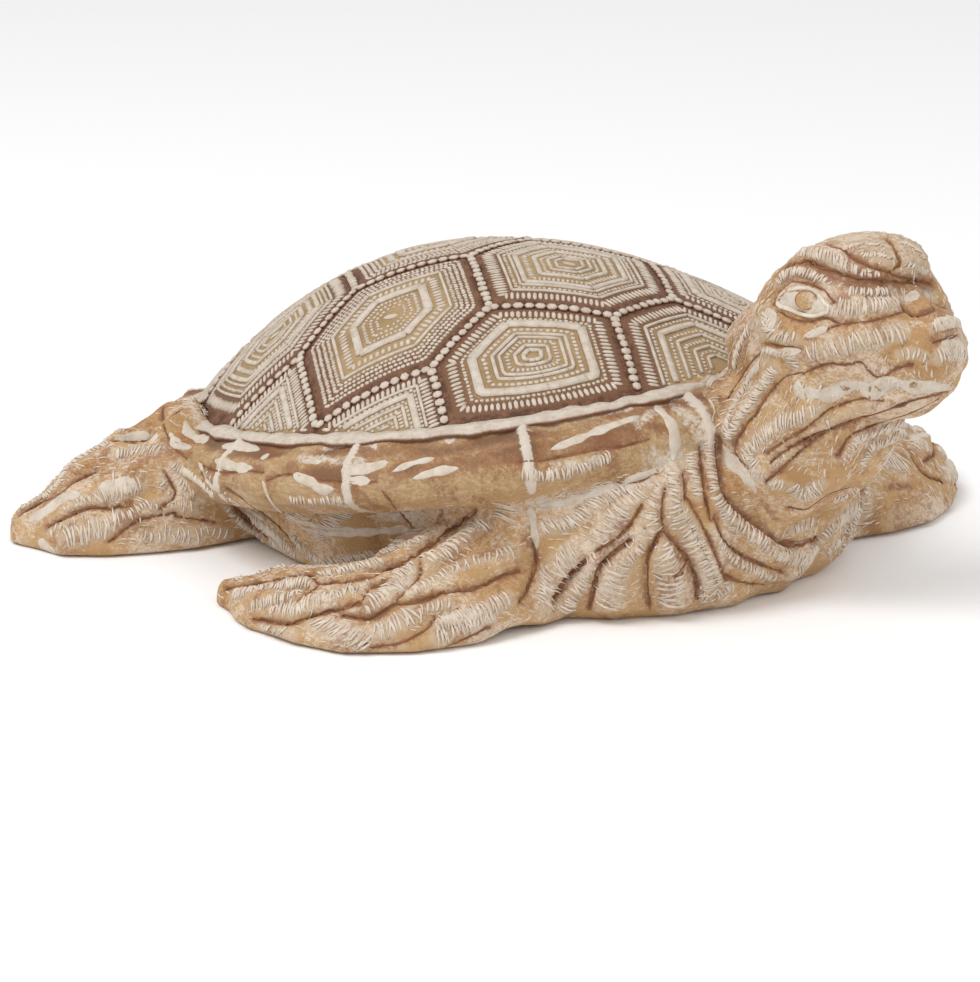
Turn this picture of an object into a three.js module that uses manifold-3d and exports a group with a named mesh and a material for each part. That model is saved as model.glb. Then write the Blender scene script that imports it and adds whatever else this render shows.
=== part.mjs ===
// A sea turtle figurine carved from one block of wood, with a limewashed finish.
// It lies on its belly and four flippers, with its head raised on a thick neck.
// Millimetres, +X towards the head, +Y to the turtle's left, +Z up, resting on z = 0.
import * as THREE from "three";
import { mergeVertices } from "three/addons/utils/BufferGeometryUtils.js";
import Module from "manifold-3d";

const wasm = await Module();
wasm.setup();

// Driving dimensions of the shell
const shellHalfLength = 95; // the dome's edge, ahead of and behind its middle
const shellHalfWidth = 82; // the dome's edge at mid length
const shellEgg = 0.2; // share by which the shell is wider at the head end
const shellRise = 39.5; // dome's top above its edge
const shellPitch = THREE.MathUtils.degToRad(11); // the head end is higher
const shellEdgeHeight = 38; // dome's edge above the ground at mid length

// Shell plates: a row of hexagons on the middle line, and a row on each side
const plateLength = 50; // along X, from one plate to the next
const plateSide = 25.4; // the short edge across the middle line
const plateReach = 33.9; // from a plate's middle to its outer corner
const plateStart = 42; // X of one middle plate's centre
const grooveDepth = 0.9; // the channel between two plates
const frameHeight = 0.9; // the raised band inside each plate
const smallPlate = 0.55; // a plate cut to less than this share fans out from the edge

// Rolled edge round the dome
const rimWidth = 11;
const rimDepth = 18.5;
const rimBead = 1.5; // the raised line where the dome meets the edge
const rimFlare = 7; // the edge curls up at the tail
const seamHeight = 1.1; // the raised line between two edge plates
const seamHalfAngle = THREE.MathUtils.degToRad(1.3);
const seamAngles = [12, 40, 68, 97, 125, 148, 168].map(THREE.MathUtils.degToRad);
const rimStep = THREE.MathUtils.degToRad(9); // widest facet round the edge

// Belly and chest
const bellyInset = 9; // the belly's side inside the dome's edge
const chestReach = 21; // the chest's foot ahead of the dome's edge
const chestFolds = 40; // skin folds in a full turn round the belly
const foldsCentre = THREE.MathUtils.degToRad(36); // the folds fan out from over the shoulder
const foldHeight = 1.5;

// Neck and head
const neckWidth = 38;
const neckDepth = 41;
const headLength = 70;
const headWidth = 43;
const headHeight = 48;
const headCentre = 78; // height of the head's middle above the ground
const headReach = 34; // the head's middle ahead of the dome's edge

// Flippers
const frontSpan = 115; // the front flipper's outer edge from the middle line
const frontSweep = 62; // from the flipper's leading edge back to its tip
const frontChord = 46;
const frontHeight = 30;
const leftLead = 38; // the left front flipper is set further ahead than the right
const leftTurn = THREE.MathUtils.degToRad(13); // and swept back more
const rearSpan = 111;
const rearChord = 47;
const rearHeight = 34;
const flipperTip = 5.5; // thickness at a flipper's tip
const flipperFolds = 5;

const { cos, sin, PI, hypot, abs, sign, pow, exp, max, min, sqrt, atan2, round, ceil } = Math;
const smooth = THREE.MathUtils.smoothstep;

// A closed surface from rings of points, with a pole at each end.
function loft(rings, firstPole, lastPole) {
  const around = rings[0].length;
  const points = [firstPole, ...rings.flat(), lastPole];
  const at = (row, column) => 1 + row * around + (column % around);
  const faces = [];
  for (let c = 0; c < around; c++) {
    faces.push(0, at(0, c + 1), at(0, c));
    for (let r = 0; r + 1 < rings.length; r++) {
      faces.push(at(r, c), at(r, c + 1), at(r + 1, c));
      faces.push(at(r, c + 1), at(r + 1, c + 1), at(r + 1, c));
    }
    faces.push(points.length - 1, at(rings.length - 1, c), at(rings.length - 1, c + 1));
  }
  return surface(points, faces);
}

function surface(points, faces) {
  const geometry = new THREE.BufferGeometry();
  geometry.setAttribute("position", new THREE.Float32BufferAttribute(points.flatMap((p) => p.toArray()), 3));
  geometry.setIndex(faces);
  return mergeVertices(geometry, 1e-3);
}

function solid(geometry) {
  const made = new wasm.Manifold(
    new wasm.Mesh({
      numProp: 3,
      vertProperties: geometry.attributes.position.array,
      triVerts: new Uint32Array(geometry.index.array),
    }),
  );
  if (made.volume() < 0) throw new Error("a surface is inside out");
  return made;
}

function mirrored(geometry) {
  const other = geometry.clone().scale(1, -1, 1);
  const index = other.index.array;
  for (let i = 0; i < index.length; i += 3) [index[i], index[i + 1]] = [index[i + 1], index[i]];
  return other;
}

// The shell is drawn in plan and tipped about the Y axis through its middle.
const tip = (x, y, z) =>
  new THREE.Vector3(
    x * cos(shellPitch) - z * sin(shellPitch),
    y,
    shellEdgeHeight + x * sin(shellPitch) + z * cos(shellPitch),
  );
const eggWidth = (x) => 1 + (shellEgg * x) / shellHalfLength;
const rimPoint = (angle) => {
  const x = shellHalfLength * cos(angle);
  return new THREE.Vector2(x, shellHalfWidth * sin(angle) * eggWidth(x));
};
const shellRadius = (p) => hypot(p.x / shellHalfLength, p.y / (shellHalfWidth * eggWidth(p.x)));
const shellAngle = (p) => atan2(p.y / (shellHalfWidth * eggWidth(p.x)), p.x / shellHalfLength);
const domeHeight = (p) => shellRise * max(0, 1 - shellRadius(p) ** 2);
const rimOut = (angle) => {
  const step = 1e-3;
  const along = rimPoint(angle + step).sub(rimPoint(angle - step)).normalize();
  return new THREE.Vector2(along.y, -along.x);
};

// Angles round the edge that every plate and the rolled edge share.
function rimAngles(crossings) {
  const fixed = [...crossings];
  for (const s of seamAngles) for (const side of [1, -1]) for (const d of [-1, 0, 1]) fixed.push(side * s + d * seamHalfAngle);
  fixed.sort((a, b) => a - b);
  const least = seamHalfAngle * 0.8;
  const kept = [];
  for (const a of fixed) {
    const isCrossing = crossings.includes(a);
    if (kept.length && a - kept[kept.length - 1] < least) {
      if (isCrossing && !crossings.includes(kept[kept.length - 1])) kept[kept.length - 1] = a;
      else if (isCrossing) kept.push(a);
    } else kept.push(a);
  }
  const all = [];
  kept.forEach((a, i) => {
    const next = i + 1 < kept.length ? kept[i + 1] : kept[0] + 2 * PI;
    const parts = max(1, ceil((next - a) / rimStep));
    for (let k = 0; k < parts; k++) all.push(a + ((next - a) * k) / parts);
  });
  return all;
}

// The hexagons of the plates, and where their edges cross the dome's edge.
function plateOutlines() {
  const row = plateSide / 2 + plateReach;
  const corners = [
    [plateLength / 2, -plateSide / 2],
    [plateLength / 2, plateSide / 2],
    [0, plateReach],
    [-plateLength / 2, plateSide / 2],
    [-plateLength / 2, -plateSide / 2],
    [0, -plateReach],
  ];
  const plates = [];
  const rows = ceil((shellHalfWidth * (1 + shellEgg)) / row) + 1;
  const columns = ceil((2 * shellHalfLength) / plateLength) + 1;
  for (let r = -rows; r <= rows; r++)
    for (let c = -columns; c <= columns; c++) {
      const centre = new THREE.Vector2(plateStart + (c + (r % 2 ? 0.5 : 0)) * plateLength, r * row);
      const outline = corners.map(([x, y]) => new THREE.Vector2(x, y).add(centre));
      if (outline.some((p) => shellRadius(p) < 1)) plates.push({ centre, outline });
    }
  return plates;
}

function crossing(inside, outside) {
  let low = 0;
  let high = 1;
  for (let i = 0; i < 40; i++) {
    const mid = (low + high) / 2;
    if (shellRadius(inside.clone().lerp(outside, mid)) < 1) low = mid;
    else high = mid;
  }
  return inside.clone().lerp(outside, low);
}

// One plate's outline inside the dome's edge: hexagon edges in halves, and rim points.
function clipped(plate, angles) {
  const points = [];
  const count = plate.outline.length;
  let leaves = null;
  let enters = null;
  for (let i = 0; i < count; i++) {
    const a = plate.outline[i];
    const b = plate.outline[(i + 1) % count];
    const aIn = shellRadius(a) < 1;
    const bIn = shellRadius(b) < 1;
    const start = aIn ? a : bIn ? crossing(b, a) : null;
    const end = bIn ? b : aIn ? crossing(a, b) : null;
    if (!start) continue;
    if (!aIn) enters = { at: points.length, angle: shellAngle(start) };
    points.push({ p: start, rim: !aIn });
    points.push({ p: start.clone().lerp(end, 0.5), rim: false });
    if (!bIn) {
      points.push({ p: end, rim: true });
      leaves = { at: points.length, angle: shellAngle(end) };
    }
  }
  if (!leaves) return { points: points.map((q) => q.p), onRim: points.map(() => false) };
  // Follow the rim from where the outline leaves to where it enters again.
  const turn = 2 * PI;
  const span = (((enters.angle - leaves.angle) % turn) + turn) % turn;
  const arc = angles
    .map((a) => (((a - leaves.angle) % turn) + turn) % turn)
    .filter((d) => d > 1e-6 && d < span - 1e-6)
    .sort((a, b) => a - b)
    .map((d) => ({ p: rimPoint(leaves.angle + d), rim: true }));
  const rotated = [...points.slice(enters.at), ...points.slice(0, enters.at)];
  const all = [...rotated, ...arc];
  return { points: all.map((q) => q.p), onRim: all.map((q) => q.rim), arcMiddle: rimPoint(leaves.angle + span / 2) };
}

const planArea = (points) =>
  abs(points.reduce((sum, p, i) => sum + p.cross(points[(i + 1) % points.length]), 0)) / 2;

// Nested outlines of a plate, from its groove to its middle: share of the size, and height.
const plateSteps = [
  [1, 0],
  [0.88, 1],
  [0.68, 1],
  [0.64, 2],
  [0.52, 2],
  [0.46, 1],
];

function shellSolid() {
  const plates = plateOutlines();
  const crossings = [];
  for (const plate of plates)
    plate.outline.forEach((a, i) => {
      const b = plate.outline[(i + 1) % plate.outline.length];
      if (shellRadius(a) < 1 && shellRadius(b) >= 1) crossings.push(shellAngle(crossing(a, b)));
    });
  const unique = crossings.sort((a, b) => a - b).filter((a, i, all) => i === 0 || a - all[i - 1] > 1e-6);
  const angles = rimAngles(unique);

  const points = [];
  const faces = [];
  const add = (p) => points.push(p) - 1;
  const fullArea = 4 * (plateLength / 2) * (plateSide / 2 + (plateReach - plateSide / 2) / 2);
  for (const plate of plates) {
    const { points: outline, onRim, arcMiddle } = clipped(plate, angles);
    if (outline.length < 3) continue;
    const middle = outline.reduce((sum, p) => sum.add(p), new THREE.Vector2()).divideScalar(outline.length);
    const fans = arcMiddle && planArea(outline) < smallPlate * fullArea;
    const hub = fans ? arcMiddle.clone().lerp(middle, 0.06) : middle;
    let ring = null;
    for (const [share, level] of plateSteps) {
      const next = outline.map((p, i) => {
        const q = hub.clone().lerp(p, share);
        const isEdge = share === 1;
        const lift = isEdge ? 0 : grooveDepth * min(level, 1) + frameHeight * max(level - 1, 0);
        return add(tip(q.x, q.y, (isEdge && onRim[i] ? 0 : domeHeight(q)) + lift));
      });
      if (ring)
        next.forEach((v, i) => {
          const j = (i + 1) % next.length;
          faces.push(ring[i], ring[j], v, ring[j], next[j], v);
        });
      ring = next;
    }
    const top = add(tip(hub.x, hub.y, domeHeight(hub) + grooveDepth));
    ring.forEach((v, i) => faces.push(v, ring[(i + 1) % ring.length], top));
  }

  // The rolled edge: outward and downward places of its section, as shares.
  const section = [
    [0.1, 0.08],
    [0.28, -0.05],
    [0.75, -0.22],
    [1, -0.5],
    [0.88, -0.8],
    [0.35, -1],
    [-0.6, -0.94],
  ];
  const seamAt = (angle) => {
    const near = min(...seamAngles.map((s) => min(abs(abs(angle) - s), abs(abs(angle) - 2 * PI + s))));
    return near < seamHalfAngle * 0.5 ? 1 : 0;
  };
  let ring = angles.map((a) => {
    const p = rimPoint(a);
    return add(tip(p.x, p.y, 0));
  });
  for (const [out, drop] of section) {
    const next = angles.map((a) => {
      const p = rimPoint(a);
      const away = rimOut(a);
      const onTop = out > 0.2;
      const raise = onTop ? seamAt(a) * seamHeight : 0;
      const bead = out < 0.2 && out > 0 ? rimBead : 0;
      const reach = rimWidth * out + raise;
      const flare = rimFlare * out * smooth(-cos(a), 0.4, 1);
      return add(
        tip(
          p.x + away.x * (reach + flare * 0.5),
          p.y + away.y * (reach + flare * 0.5),
          rimDepth * min(drop, 0) + bead + raise * 0.6 + flare,
        ),
      );
    });
    next.forEach((v, i) => {
      const j = (i + 1) % next.length;
      faces.push(ring[j], ring[i], v, ring[j], v, next[j]);
    });
    ring = next;
  }
  const under = add(tip(0, 0, -rimDepth * 0.94));
  ring.forEach((v, i) => faces.push(v, under, ring[(i + 1) % ring.length]));
  return solid(surface(points, faces));
}

// Belly, sides and chest: rings from the ground up into the shell.
function bodySolid() {
  const around = 120;
  const levels = [
    [0, -3],
    [0.1, 0],
    [0.45, 0.5],
    [0.8, 1.5],
    [1, 0],
  ];
  const rings = levels.map(([share, swell]) =>
    Array.from({ length: around }, (_, i) => {
      const angle = (i / around) * 2 * PI;
      const p = rimPoint(angle);
      const away = rimOut(angle);
      const front = max(0, (cos(angle) - 0.4) / 0.6) ** 1.7;
      const inset = -bellyInset * (1 - front) + chestReach * front * (1.15 - (1.2 * share - 0.5) ** 2);
      const folded = smooth(cos(angle), 0.25, 0.5) * sin((share + 0.15) * 2.6);
      const turned = angle > PI ? 2 * PI - angle : angle;
      const fanned = foldsCentre + (turned - foldsCentre) * (1 + 0.5 * share);
      const fold = foldHeight * folded * cos(fanned * chestFolds);
      const reach = inset + swell + fold;
      const edge = tip(p.x, p.y, -rimDepth * 0.7);
      return new THREE.Vector3(p.x + away.x * reach, p.y + away.y * reach, edge.z * share);
    }),
  );
  return solid(loft(rings, new THREE.Vector3(0, 0, 0), new THREE.Vector3(0, 0, shellEdgeHeight * 0.8)));
}

// An oval ring about a place on a bent spine in the plane Y = 0.
function ovalRing(place, direction, halfAcross, halfDeep, around, shape) {
  const normal = new THREE.Vector3(-direction.z, 0, direction.x);
  return Array.from({ length: around }, (_, i) => {
    const a = (i / around) * 2 * PI;
    const power = 2 / 2.3;
    const side = sign(sin(a)) * pow(abs(sin(a)), power);
    const up = sign(cos(a)) * pow(abs(cos(a)), power);
    const more = shape ? shape(a) : 0;
    return place
      .clone()
      .addScaledVector(normal, up * (halfDeep + more))
      .add(new THREE.Vector3(0, -side * (halfAcross + more), 0));
  });
}

const headMiddle = new THREE.Vector3(shellHalfLength + headReach, 0, headCentre);

function neckSolid() {
  const back = shellHalfLength * 0.8;
  const rise = headCentre - shellEdgeHeight;
  const spine = new THREE.CatmullRomCurve3([
    new THREE.Vector3(back, 0, shellEdgeHeight * 0.85),
    new THREE.Vector3(headMiddle.x - headLength * 0.4, 0, shellEdgeHeight),
    new THREE.Vector3(headMiddle.x - headLength * 0.18, 0, shellEdgeHeight + rise * 0.24),
    new THREE.Vector3(headMiddle.x - headLength * 0.06, 0, shellEdgeHeight + rise * 0.6),
    new THREE.Vector3(headMiddle.x - headLength * 0.02, 0, headCentre),
  ]);
  const rows = 10;
  const rings = Array.from({ length: rows }, (_, i) => {
    const u = i / (rows - 1);
    const place = spine.getPoint(u);
    const way = spine.getTangent(u);
    const wide = (neckWidth / 2) * (1.3 - 0.25 * smooth(u, 0, 0.55));
    const deep = (neckDepth / 2) * (1.1 - 0.08 * smooth(u, 0.6, 1));
    const fold = (a) => foldHeight * 0.7 * cos(a * 9 + 2.4 * u) * smooth(u, 0.1, 0.35);
    return ovalRing(place, way, wide, deep, 36, fold);
  });
  return solid(loft(rings, spine.getPoint(0), spine.getPoint(1)));
}

// A soft ridge or groove along a line drawn on the head's side, in shares of its size.
function alongLine(x, z, line, width) {
  let near = Infinity;
  for (let i = 0; i + 1 < line.length; i++) {
    const [ax, az] = line[i];
    const [bx, bz] = line[i + 1];
    const span = (bx - ax) ** 2 + (bz - az) ** 2 || 1;
    const t = THREE.MathUtils.clamp(((x - ax) * (bx - ax) + (z - az) * (bz - az)) / span, 0, 1);
    near = min(near, hypot(x - ax - t * (bx - ax), z - az - t * (bz - az)));
  }
  return exp(-((near / width) ** 2));
}

// Head features, placed from -1 (nape, jaw) to 1 (beak, crown) of the half sizes.
const brow = [
  [-0.45, 0.55],
  [-0.1, 0.8],
  [0.35, 0.86],
  [0.7, 0.72],
];
const browCrease = [
  [-0.4, 0.36],
  [-0.05, 0.66],
  [0.35, 0.68],
  [0.74, 0.52],
];
const cheek = [
  [-0.35, -0.04],
  [0.1, 0.02],
  [0.55, 0.12],
];
const mouth = [
  [0.02, -0.62],
  [0.37, -0.5],
  [1, -0.38],
];
const eyePlace = [-0.02, 0.43];
const eyeSize = 5; // half the length of an eye

function headSolid() {
  // Stations from nape to beak: place, half width, crown and jaw, as shares.
  const stations = [
    [-1, 0.4, -0.25, -1],
    [-0.85, 0.66, 0, -1.1],
    [-0.65, 0.84, 0.22, -1.1],
    [-0.4, 0.96, 0.62, -1.08],
    [-0.1, 1, 0.93, -1.05],
    [0.2, 0.95, 1.02, -1],
    [0.45, 0.86, 0.96, -0.95],
    [0.66, 0.7, 0.78, -0.88],
    [0.76, 0.6, 0.5, -0.84],
    [0.88, 0.5, 0.34, -0.78],
    [0.96, 0.4, 0.12, -0.76],
    [1, 0.25, -0.08, -0.6],
  ];
  const column = (k) => new THREE.SplineCurve(stations.map((s) => new THREE.Vector2(s[0], s[k])));
  const [wide, crown, jaw] = [column(1), column(2), column(3)];
  const rows = 23;
  const around = 42;
  const half = headLength / 2;
  const rings = Array.from({ length: rows }, (_, i) => {
    const u = i / (rows - 1);
    const share = wide.getPoint(u).x;
    const top = crown.getPoint(u).y;
    const low = jaw.getPoint(u).y;
    const middle = (top + low) / 2;
    const centre = headMiddle.clone().add(new THREE.Vector3(share * half, 0, (middle * headHeight) / 2));
    const halfAcross = (wide.getPoint(u).y * headWidth) / 2;
    const halfDeep = ((top - low) * headHeight) / 4;
    return ovalRing(centre, new THREE.Vector3(1, 0, 0), halfAcross, halfDeep, around, (a) => {
      const z = middle + (cos(a) * (top - low)) / 2;
      const onSide = smooth(abs(sin(a)), 0.2, 0.6);
      return (
        onSide *
        (1.9 * alongLine(share, z, brow, 0.13) -
          1.9 * alongLine(share, z, browCrease, 0.1) +
          1.1 * alongLine(share, z, cheek, 0.12) -
          2.2 * alongLine(share, z, mouth, 0.11) -
          1.5 * alongLine(share, z, [eyePlace, eyePlace], 0.3))
      );
    });
  });
  const end = (side, z) => headMiddle.clone().add(new THREE.Vector3(side * half, 0, (z * headHeight) / 2));
  return solid(loft(rings, end(-1, -0.7), end(1.01, -0.25)));
}

// An almond eye, set into the side of the head.
function eyeGeometry() {
  const ball = new THREE.SphereGeometry(1, 12, 8).rotateX(PI / 2);
  const place = headMiddle.clone();
  place.add(new THREE.Vector3((eyePlace[0] * headLength) / 2, -headWidth * 0.41, (eyePlace[1] * headHeight) / 2));
  ball.scale(eyeSize, eyeSize * 0.6, eyeSize * 0.72).rotateY(0.25);
  ball.translate(place.x, place.y, place.z);
  ball.deleteAttribute("normal");
  ball.deleteAttribute("uv");
  return mergeVertices(ball, 1e-3);
}

// A flipper lies flat on the ground: its sole is at z = 0, and its back is carved in
// long folds. The spine is drawn in plan, with half chord and height at each station.
function flipperGeometry(spinePoints, halfChords, heights, rows, across, foldCount) {
  const spine = new THREE.CatmullRomCurve3(spinePoints.map(([x, y]) => new THREE.Vector3(x, y, 0)));
  const along = (values, u) => {
    const t = u * (values.length - 1);
    const i = min(values.length - 2, Math.floor(t));
    return THREE.MathUtils.lerp(values[i], values[i + 1], smooth(t - i, 0, 1));
  };
  const rings = Array.from({ length: rows }, (_, i) => {
    const u = i / (rows - 1);
    const place = spine.getPoint(u);
    const way = spine.getTangent(u);
    const normal = new THREE.Vector3(-way.y, way.x, 0);
    const half = along(halfChords, u);
    const height = along(heights, u);
    const back = [];
    for (let k = 0; k < across; k++) {
      const v = -1 + (2 * k) / (across - 1);
      const crown = pow(max(0, 1 - pow(abs(v), 2.6)), 0.6);
      const fold = foldHeight * cos((v + 1) * PI * foldCount) * crown * smooth(u, 0.12, 0.3);
      const z = max(1.5, height * crown * (1 - 0.18 * v) + fold);
      back.push(place.clone().addScaledVector(normal, v * half).setZ(z));
    }
    const sole = [0.86, -0.86].map((v) => place.clone().addScaledVector(normal, v * half).setZ(0));
    return [...back, ...sole].reverse();
  });
  const first = spine.getPoint(0).setZ(heights[0] / 2);
  const last = spine.getPoint(1).add(spine.getTangent(1).multiplyScalar(1.2)).setZ(flipperTip * 0.4);
  return loft(rings, first, last);
}

function frontFlipper() {
  const lead = shellHalfLength * 0.63;
  const outer = -frontSpan + frontChord * 0.42;
  const spine = [
    [lead - frontChord * 0.22, -shellHalfWidth * 0.5],
    [lead, -shellHalfWidth * 0.78],
    [lead - frontChord * 0.17, outer],
    [lead - frontSweep * 0.55, outer - frontChord * 0.17],
    [lead - frontSweep * 0.87, -frontSpan + frontChord * 0.17],
  ];
  const chords = [0.5, 0.55, 0.46, 0.34, 0.06].map((s) => s * frontChord);
  const heights = [frontHeight, frontHeight * 0.85, frontHeight * 0.55, frontHeight * 0.38, flipperTip];
  const rows = 14;
  return flipperGeometry(spine, chords, heights, rows, 4 * flipperFolds + 1, flipperFolds);
}

function rearFlipper() {
  const root = -shellHalfLength * 0.48;
  const spine = [
    [root, -shellHalfWidth * 0.55],
    [root - rearChord * 0.1, -shellHalfWidth * 0.87],
    [root - rearChord * 0.34, -rearSpan + rearChord * 0.34],
    [root - rearChord * 0.68, -rearSpan + rearChord * 0.06],
  ];
  const chords = [0.5, 0.48, 0.4, 0.12].map((s) => s * rearChord);
  const heights = [rearHeight, rearHeight, rearHeight * 0.66, flipperTip * 1.3];
  const rows = 9;
  const folds = flipperFolds - 1;
  return flipperGeometry(spine, chords, heights, rows, 4 * folds + 1, folds);
}

const front = frontFlipper();
const rear = rearFlipper();
const eye = eyeGeometry();
const left = mirrored(front).rotateZ(leftTurn).translate(leftLead, 0, 0);
const pieces = [
  neckSolid(),
  headSolid(),
  bodySolid(),
  solid(front),
  solid(left),
  solid(rear),
  solid(mirrored(rear)),
  solid(eye),
  solid(mirrored(eye)),
];
const carved = pieces.reduce((sum, piece) => sum.add(piece), shellSolid());

const mesh = carved.getMesh();
const geometry = new THREE.BufferGeometry();
const coordinates = new Float32Array(mesh.numVert * 3);
for (let i = 0; i < mesh.numVert; i++)
  coordinates.set(mesh.vertProperties.subarray(i * mesh.numProp, i * mesh.numProp + 3), i * 3);
geometry.setAttribute("position", new THREE.BufferAttribute(coordinates, 3));
geometry.setIndex(new THREE.BufferAttribute(new Uint32Array(mesh.triVerts), 1));
geometry.computeBoundingBox();

// The origin is the middle of the figurine's footprint box, on the ground.
const box = geometry.boundingBox;
geometry.translate(-(box.min.x + box.max.x) / 2, -(box.min.y + box.max.y) / 2, -box.min.z);

const wood = new THREE.MeshStandardMaterial({ color: 0xcfae7c, roughness: 0.72, metalness: 0 });
const turtle = new THREE.Mesh(geometry, wood);
turtle.name = "turtle";

const figurine = new THREE.Group();
figurine.add(turtle);

export default figurine;
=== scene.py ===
import bpy
import math
import numpy as np
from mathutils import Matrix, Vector, kdtree
from mathutils.bvhtree import BVHTree


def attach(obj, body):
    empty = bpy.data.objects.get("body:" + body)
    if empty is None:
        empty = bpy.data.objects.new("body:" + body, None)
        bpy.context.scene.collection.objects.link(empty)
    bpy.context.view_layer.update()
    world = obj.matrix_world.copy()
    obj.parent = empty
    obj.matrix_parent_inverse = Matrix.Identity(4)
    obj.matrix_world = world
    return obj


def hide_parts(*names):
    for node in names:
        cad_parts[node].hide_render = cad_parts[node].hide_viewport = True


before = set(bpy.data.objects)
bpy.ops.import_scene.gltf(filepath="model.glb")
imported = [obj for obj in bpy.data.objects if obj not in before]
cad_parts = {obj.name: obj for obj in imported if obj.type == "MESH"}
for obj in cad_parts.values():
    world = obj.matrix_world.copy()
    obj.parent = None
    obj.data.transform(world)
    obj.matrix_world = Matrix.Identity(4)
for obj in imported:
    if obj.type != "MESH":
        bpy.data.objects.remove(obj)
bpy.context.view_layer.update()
print("frame loaded")

mm = 0.001
shift = np.array([-28.765, -3.654, 0.0])  # from the shell's middle to the frame's origin
mirror = np.array([1, -1, 1])
bpy.ops.object.select_all(action="DESELECT")


def smooth(x, low, high):
    t = np.clip((x - low) / (high - low), 0, 1)
    return t * t * (3 - 2 * t)


def unit(v):
    return v / np.maximum(np.linalg.norm(v, axis=-1, keepdims=True), 1e-9)


def waves(points, seed, size):
    # slow unevenness, about -1 to 1, so that nothing is ruler-straight
    r = np.random.default_rng(seed)
    k = unit(r.normal(size=(8, points.shape[-1]))) / size
    p = r.uniform(0, 2 * math.pi, 8)
    return np.sin(points @ k.T * 2 * math.pi + p).mean(axis=-1) * 1.8


def arcLength(run):
    # how far along a line each of its places is
    return np.concatenate([[0], np.cumsum(np.linalg.norm(np.diff(run, axis=0), axis=1))])


def placesAt(at, d, run):
    return np.stack([np.interp(at, d, run[:, k]) for k in range(run.shape[1])], -1)


def wayAt(at, d, run, step):
    return unit(placesAt(np.minimum(at + step, d[-1]), d, run) - placesAt(np.maximum(at - step, 0), d, run))


def resample(run, pitch):
    # evenly spaced places along a line, and their share of its length
    d = arcLength(run)
    at = np.linspace(0, d[-1], max(5, int(d[-1] / pitch)))
    return placesAt(at, d, run), at / d[-1]


def fromAngles(az, el):
    # the direction to something seen round from the nose and up, in degrees
    az, el = math.radians(az), math.radians(el)
    return np.array([math.sin(az) * math.cos(el), -math.cos(az) * math.cos(el), math.sin(el)])


# The shell, in millimetres about its own middle, as the solid has it
shell = {
    "halfLength": 95.0,
    "halfWidth": 82.0,
    "egg": 0.2,
    "rise": 39.5,
    "pitch": math.radians(11),
    "edge": 38.0,
    "rimWidth": 11.0,
    "rimDepth": 18.5,
    "rimFlare": 7.0,
    "plate": 50.0,
    "side": 25.4,
    "reach": 33.9,
    "start": 42.0,
    "seams": np.radians([12, 40, 68, 97, 125, 148, 168]),
}
pitchCos, pitchSin = math.cos(shell["pitch"]), math.sin(shell["pitch"])


def tip(x, y, z):
    # from the shell's own frame to the upright one
    return np.stack([x * pitchCos - z * pitchSin, y, shell["edge"] + x * pitchSin + z * pitchCos], axis=-1)


def eggWidth(x):
    return shell["halfWidth"] * (1 + shell["egg"] * x / shell["halfLength"])


def rimPlan(a):
    x = shell["halfLength"] * np.cos(a)
    return np.stack([x, eggWidth(x) * np.sin(a)], axis=-1)


def rimAway(a):
    along = unit(rimPlan(a + 1e-3) - rimPlan(a - 1e-3))
    return np.stack([along[..., 1], -along[..., 0]], axis=-1)


edgeRho = 0.985  # where the plates end, as a share of the dome's reach


def rho(p):
    return np.hypot(p[..., 0] / shell["halfLength"], p[..., 1] / eggWidth(p[..., 0]))


def shellAngle(p):
    return np.arctan2(p[..., 1] / eggWidth(p[..., 0]), p[..., 0] / shell["halfLength"])


def domeZ(p):
    return shell["rise"] * np.maximum(0, 1 - rho(p) ** 2)


# the rolled edge's section: share of its width outwards, share of its depth upwards
rimSection = np.array(
    [[0, 0], [0.1, 0.08], [0.28, -0.05], [0.75, -0.22], [1, -0.5], [0.88, -0.8], [0.35, -1], [-0.6, -0.94]]
)


def rimSurface(a, s):
    # s runs from 0 on the dome's edge to 7 under the shell
    out = np.interp(s, range(8), rimSection[:, 0])
    drop = np.interp(s, range(8), rimSection[:, 1])
    flare = shell["rimFlare"] * out * smooth(-np.cos(a), 0.4, 1)
    reach = shell["rimWidth"] * out + flare * 0.5
    q = rimPlan(a) + rimAway(a) * reach[..., None]
    lip = 1.5 * np.clip(1 - np.abs(s - 1), 0, 1)
    return tip(q[..., 0], q[..., 1], shell["rimDepth"] * np.minimum(drop, 0) + lip + flare)


def catmull(points, u):
    # the centripetal curve through these places, u from 0 to 1
    pts = np.asarray(points, float)
    n = len(pts)
    pos = np.clip(u, 0, 1) * (n - 1)
    i = np.minimum(pos.astype(int), n - 2)
    w = (pos - i)[..., None]
    ext = np.vstack([2 * pts[0] - pts[1], pts, 2 * pts[-1] - pts[-2]])
    p0, p1, p2, p3 = ext[i], ext[i + 1], ext[i + 2], ext[i + 3]
    d0, d1, d2 = (np.linalg.norm(b, axis=-1, keepdims=True) ** 0.5 for b in (p1 - p0, p2 - p1, p3 - p2))
    t1 = ((p1 - p0) / d0 - (p2 - p0) / (d0 + d1) + (p2 - p1) / d1) * d1
    t2 = ((p2 - p1) / d1 - (p3 - p1) / (d1 + d2) + (p3 - p2) / d2) * d1
    return p1 + t1 * w + (-3 * p1 + 3 * p2 - 2 * t1 - t2) * w**2 + (2 * p1 - 2 * p2 + t1 + t2) * w**3


def wayAlong(points, u):
    return unit(catmull(points, np.minimum(u + 1e-3, 1)) - catmull(points, np.minimum(u, 1 - 1e-3)))


def steps(values, u):
    v = np.asarray(values, float)
    t = np.clip(u, 0, 1) * (len(v) - 1)
    i = np.minimum(t.astype(int), len(v) - 2)
    return v[i] + (v[i + 1] - v[i]) * smooth(t - i, 0, 1)


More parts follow.
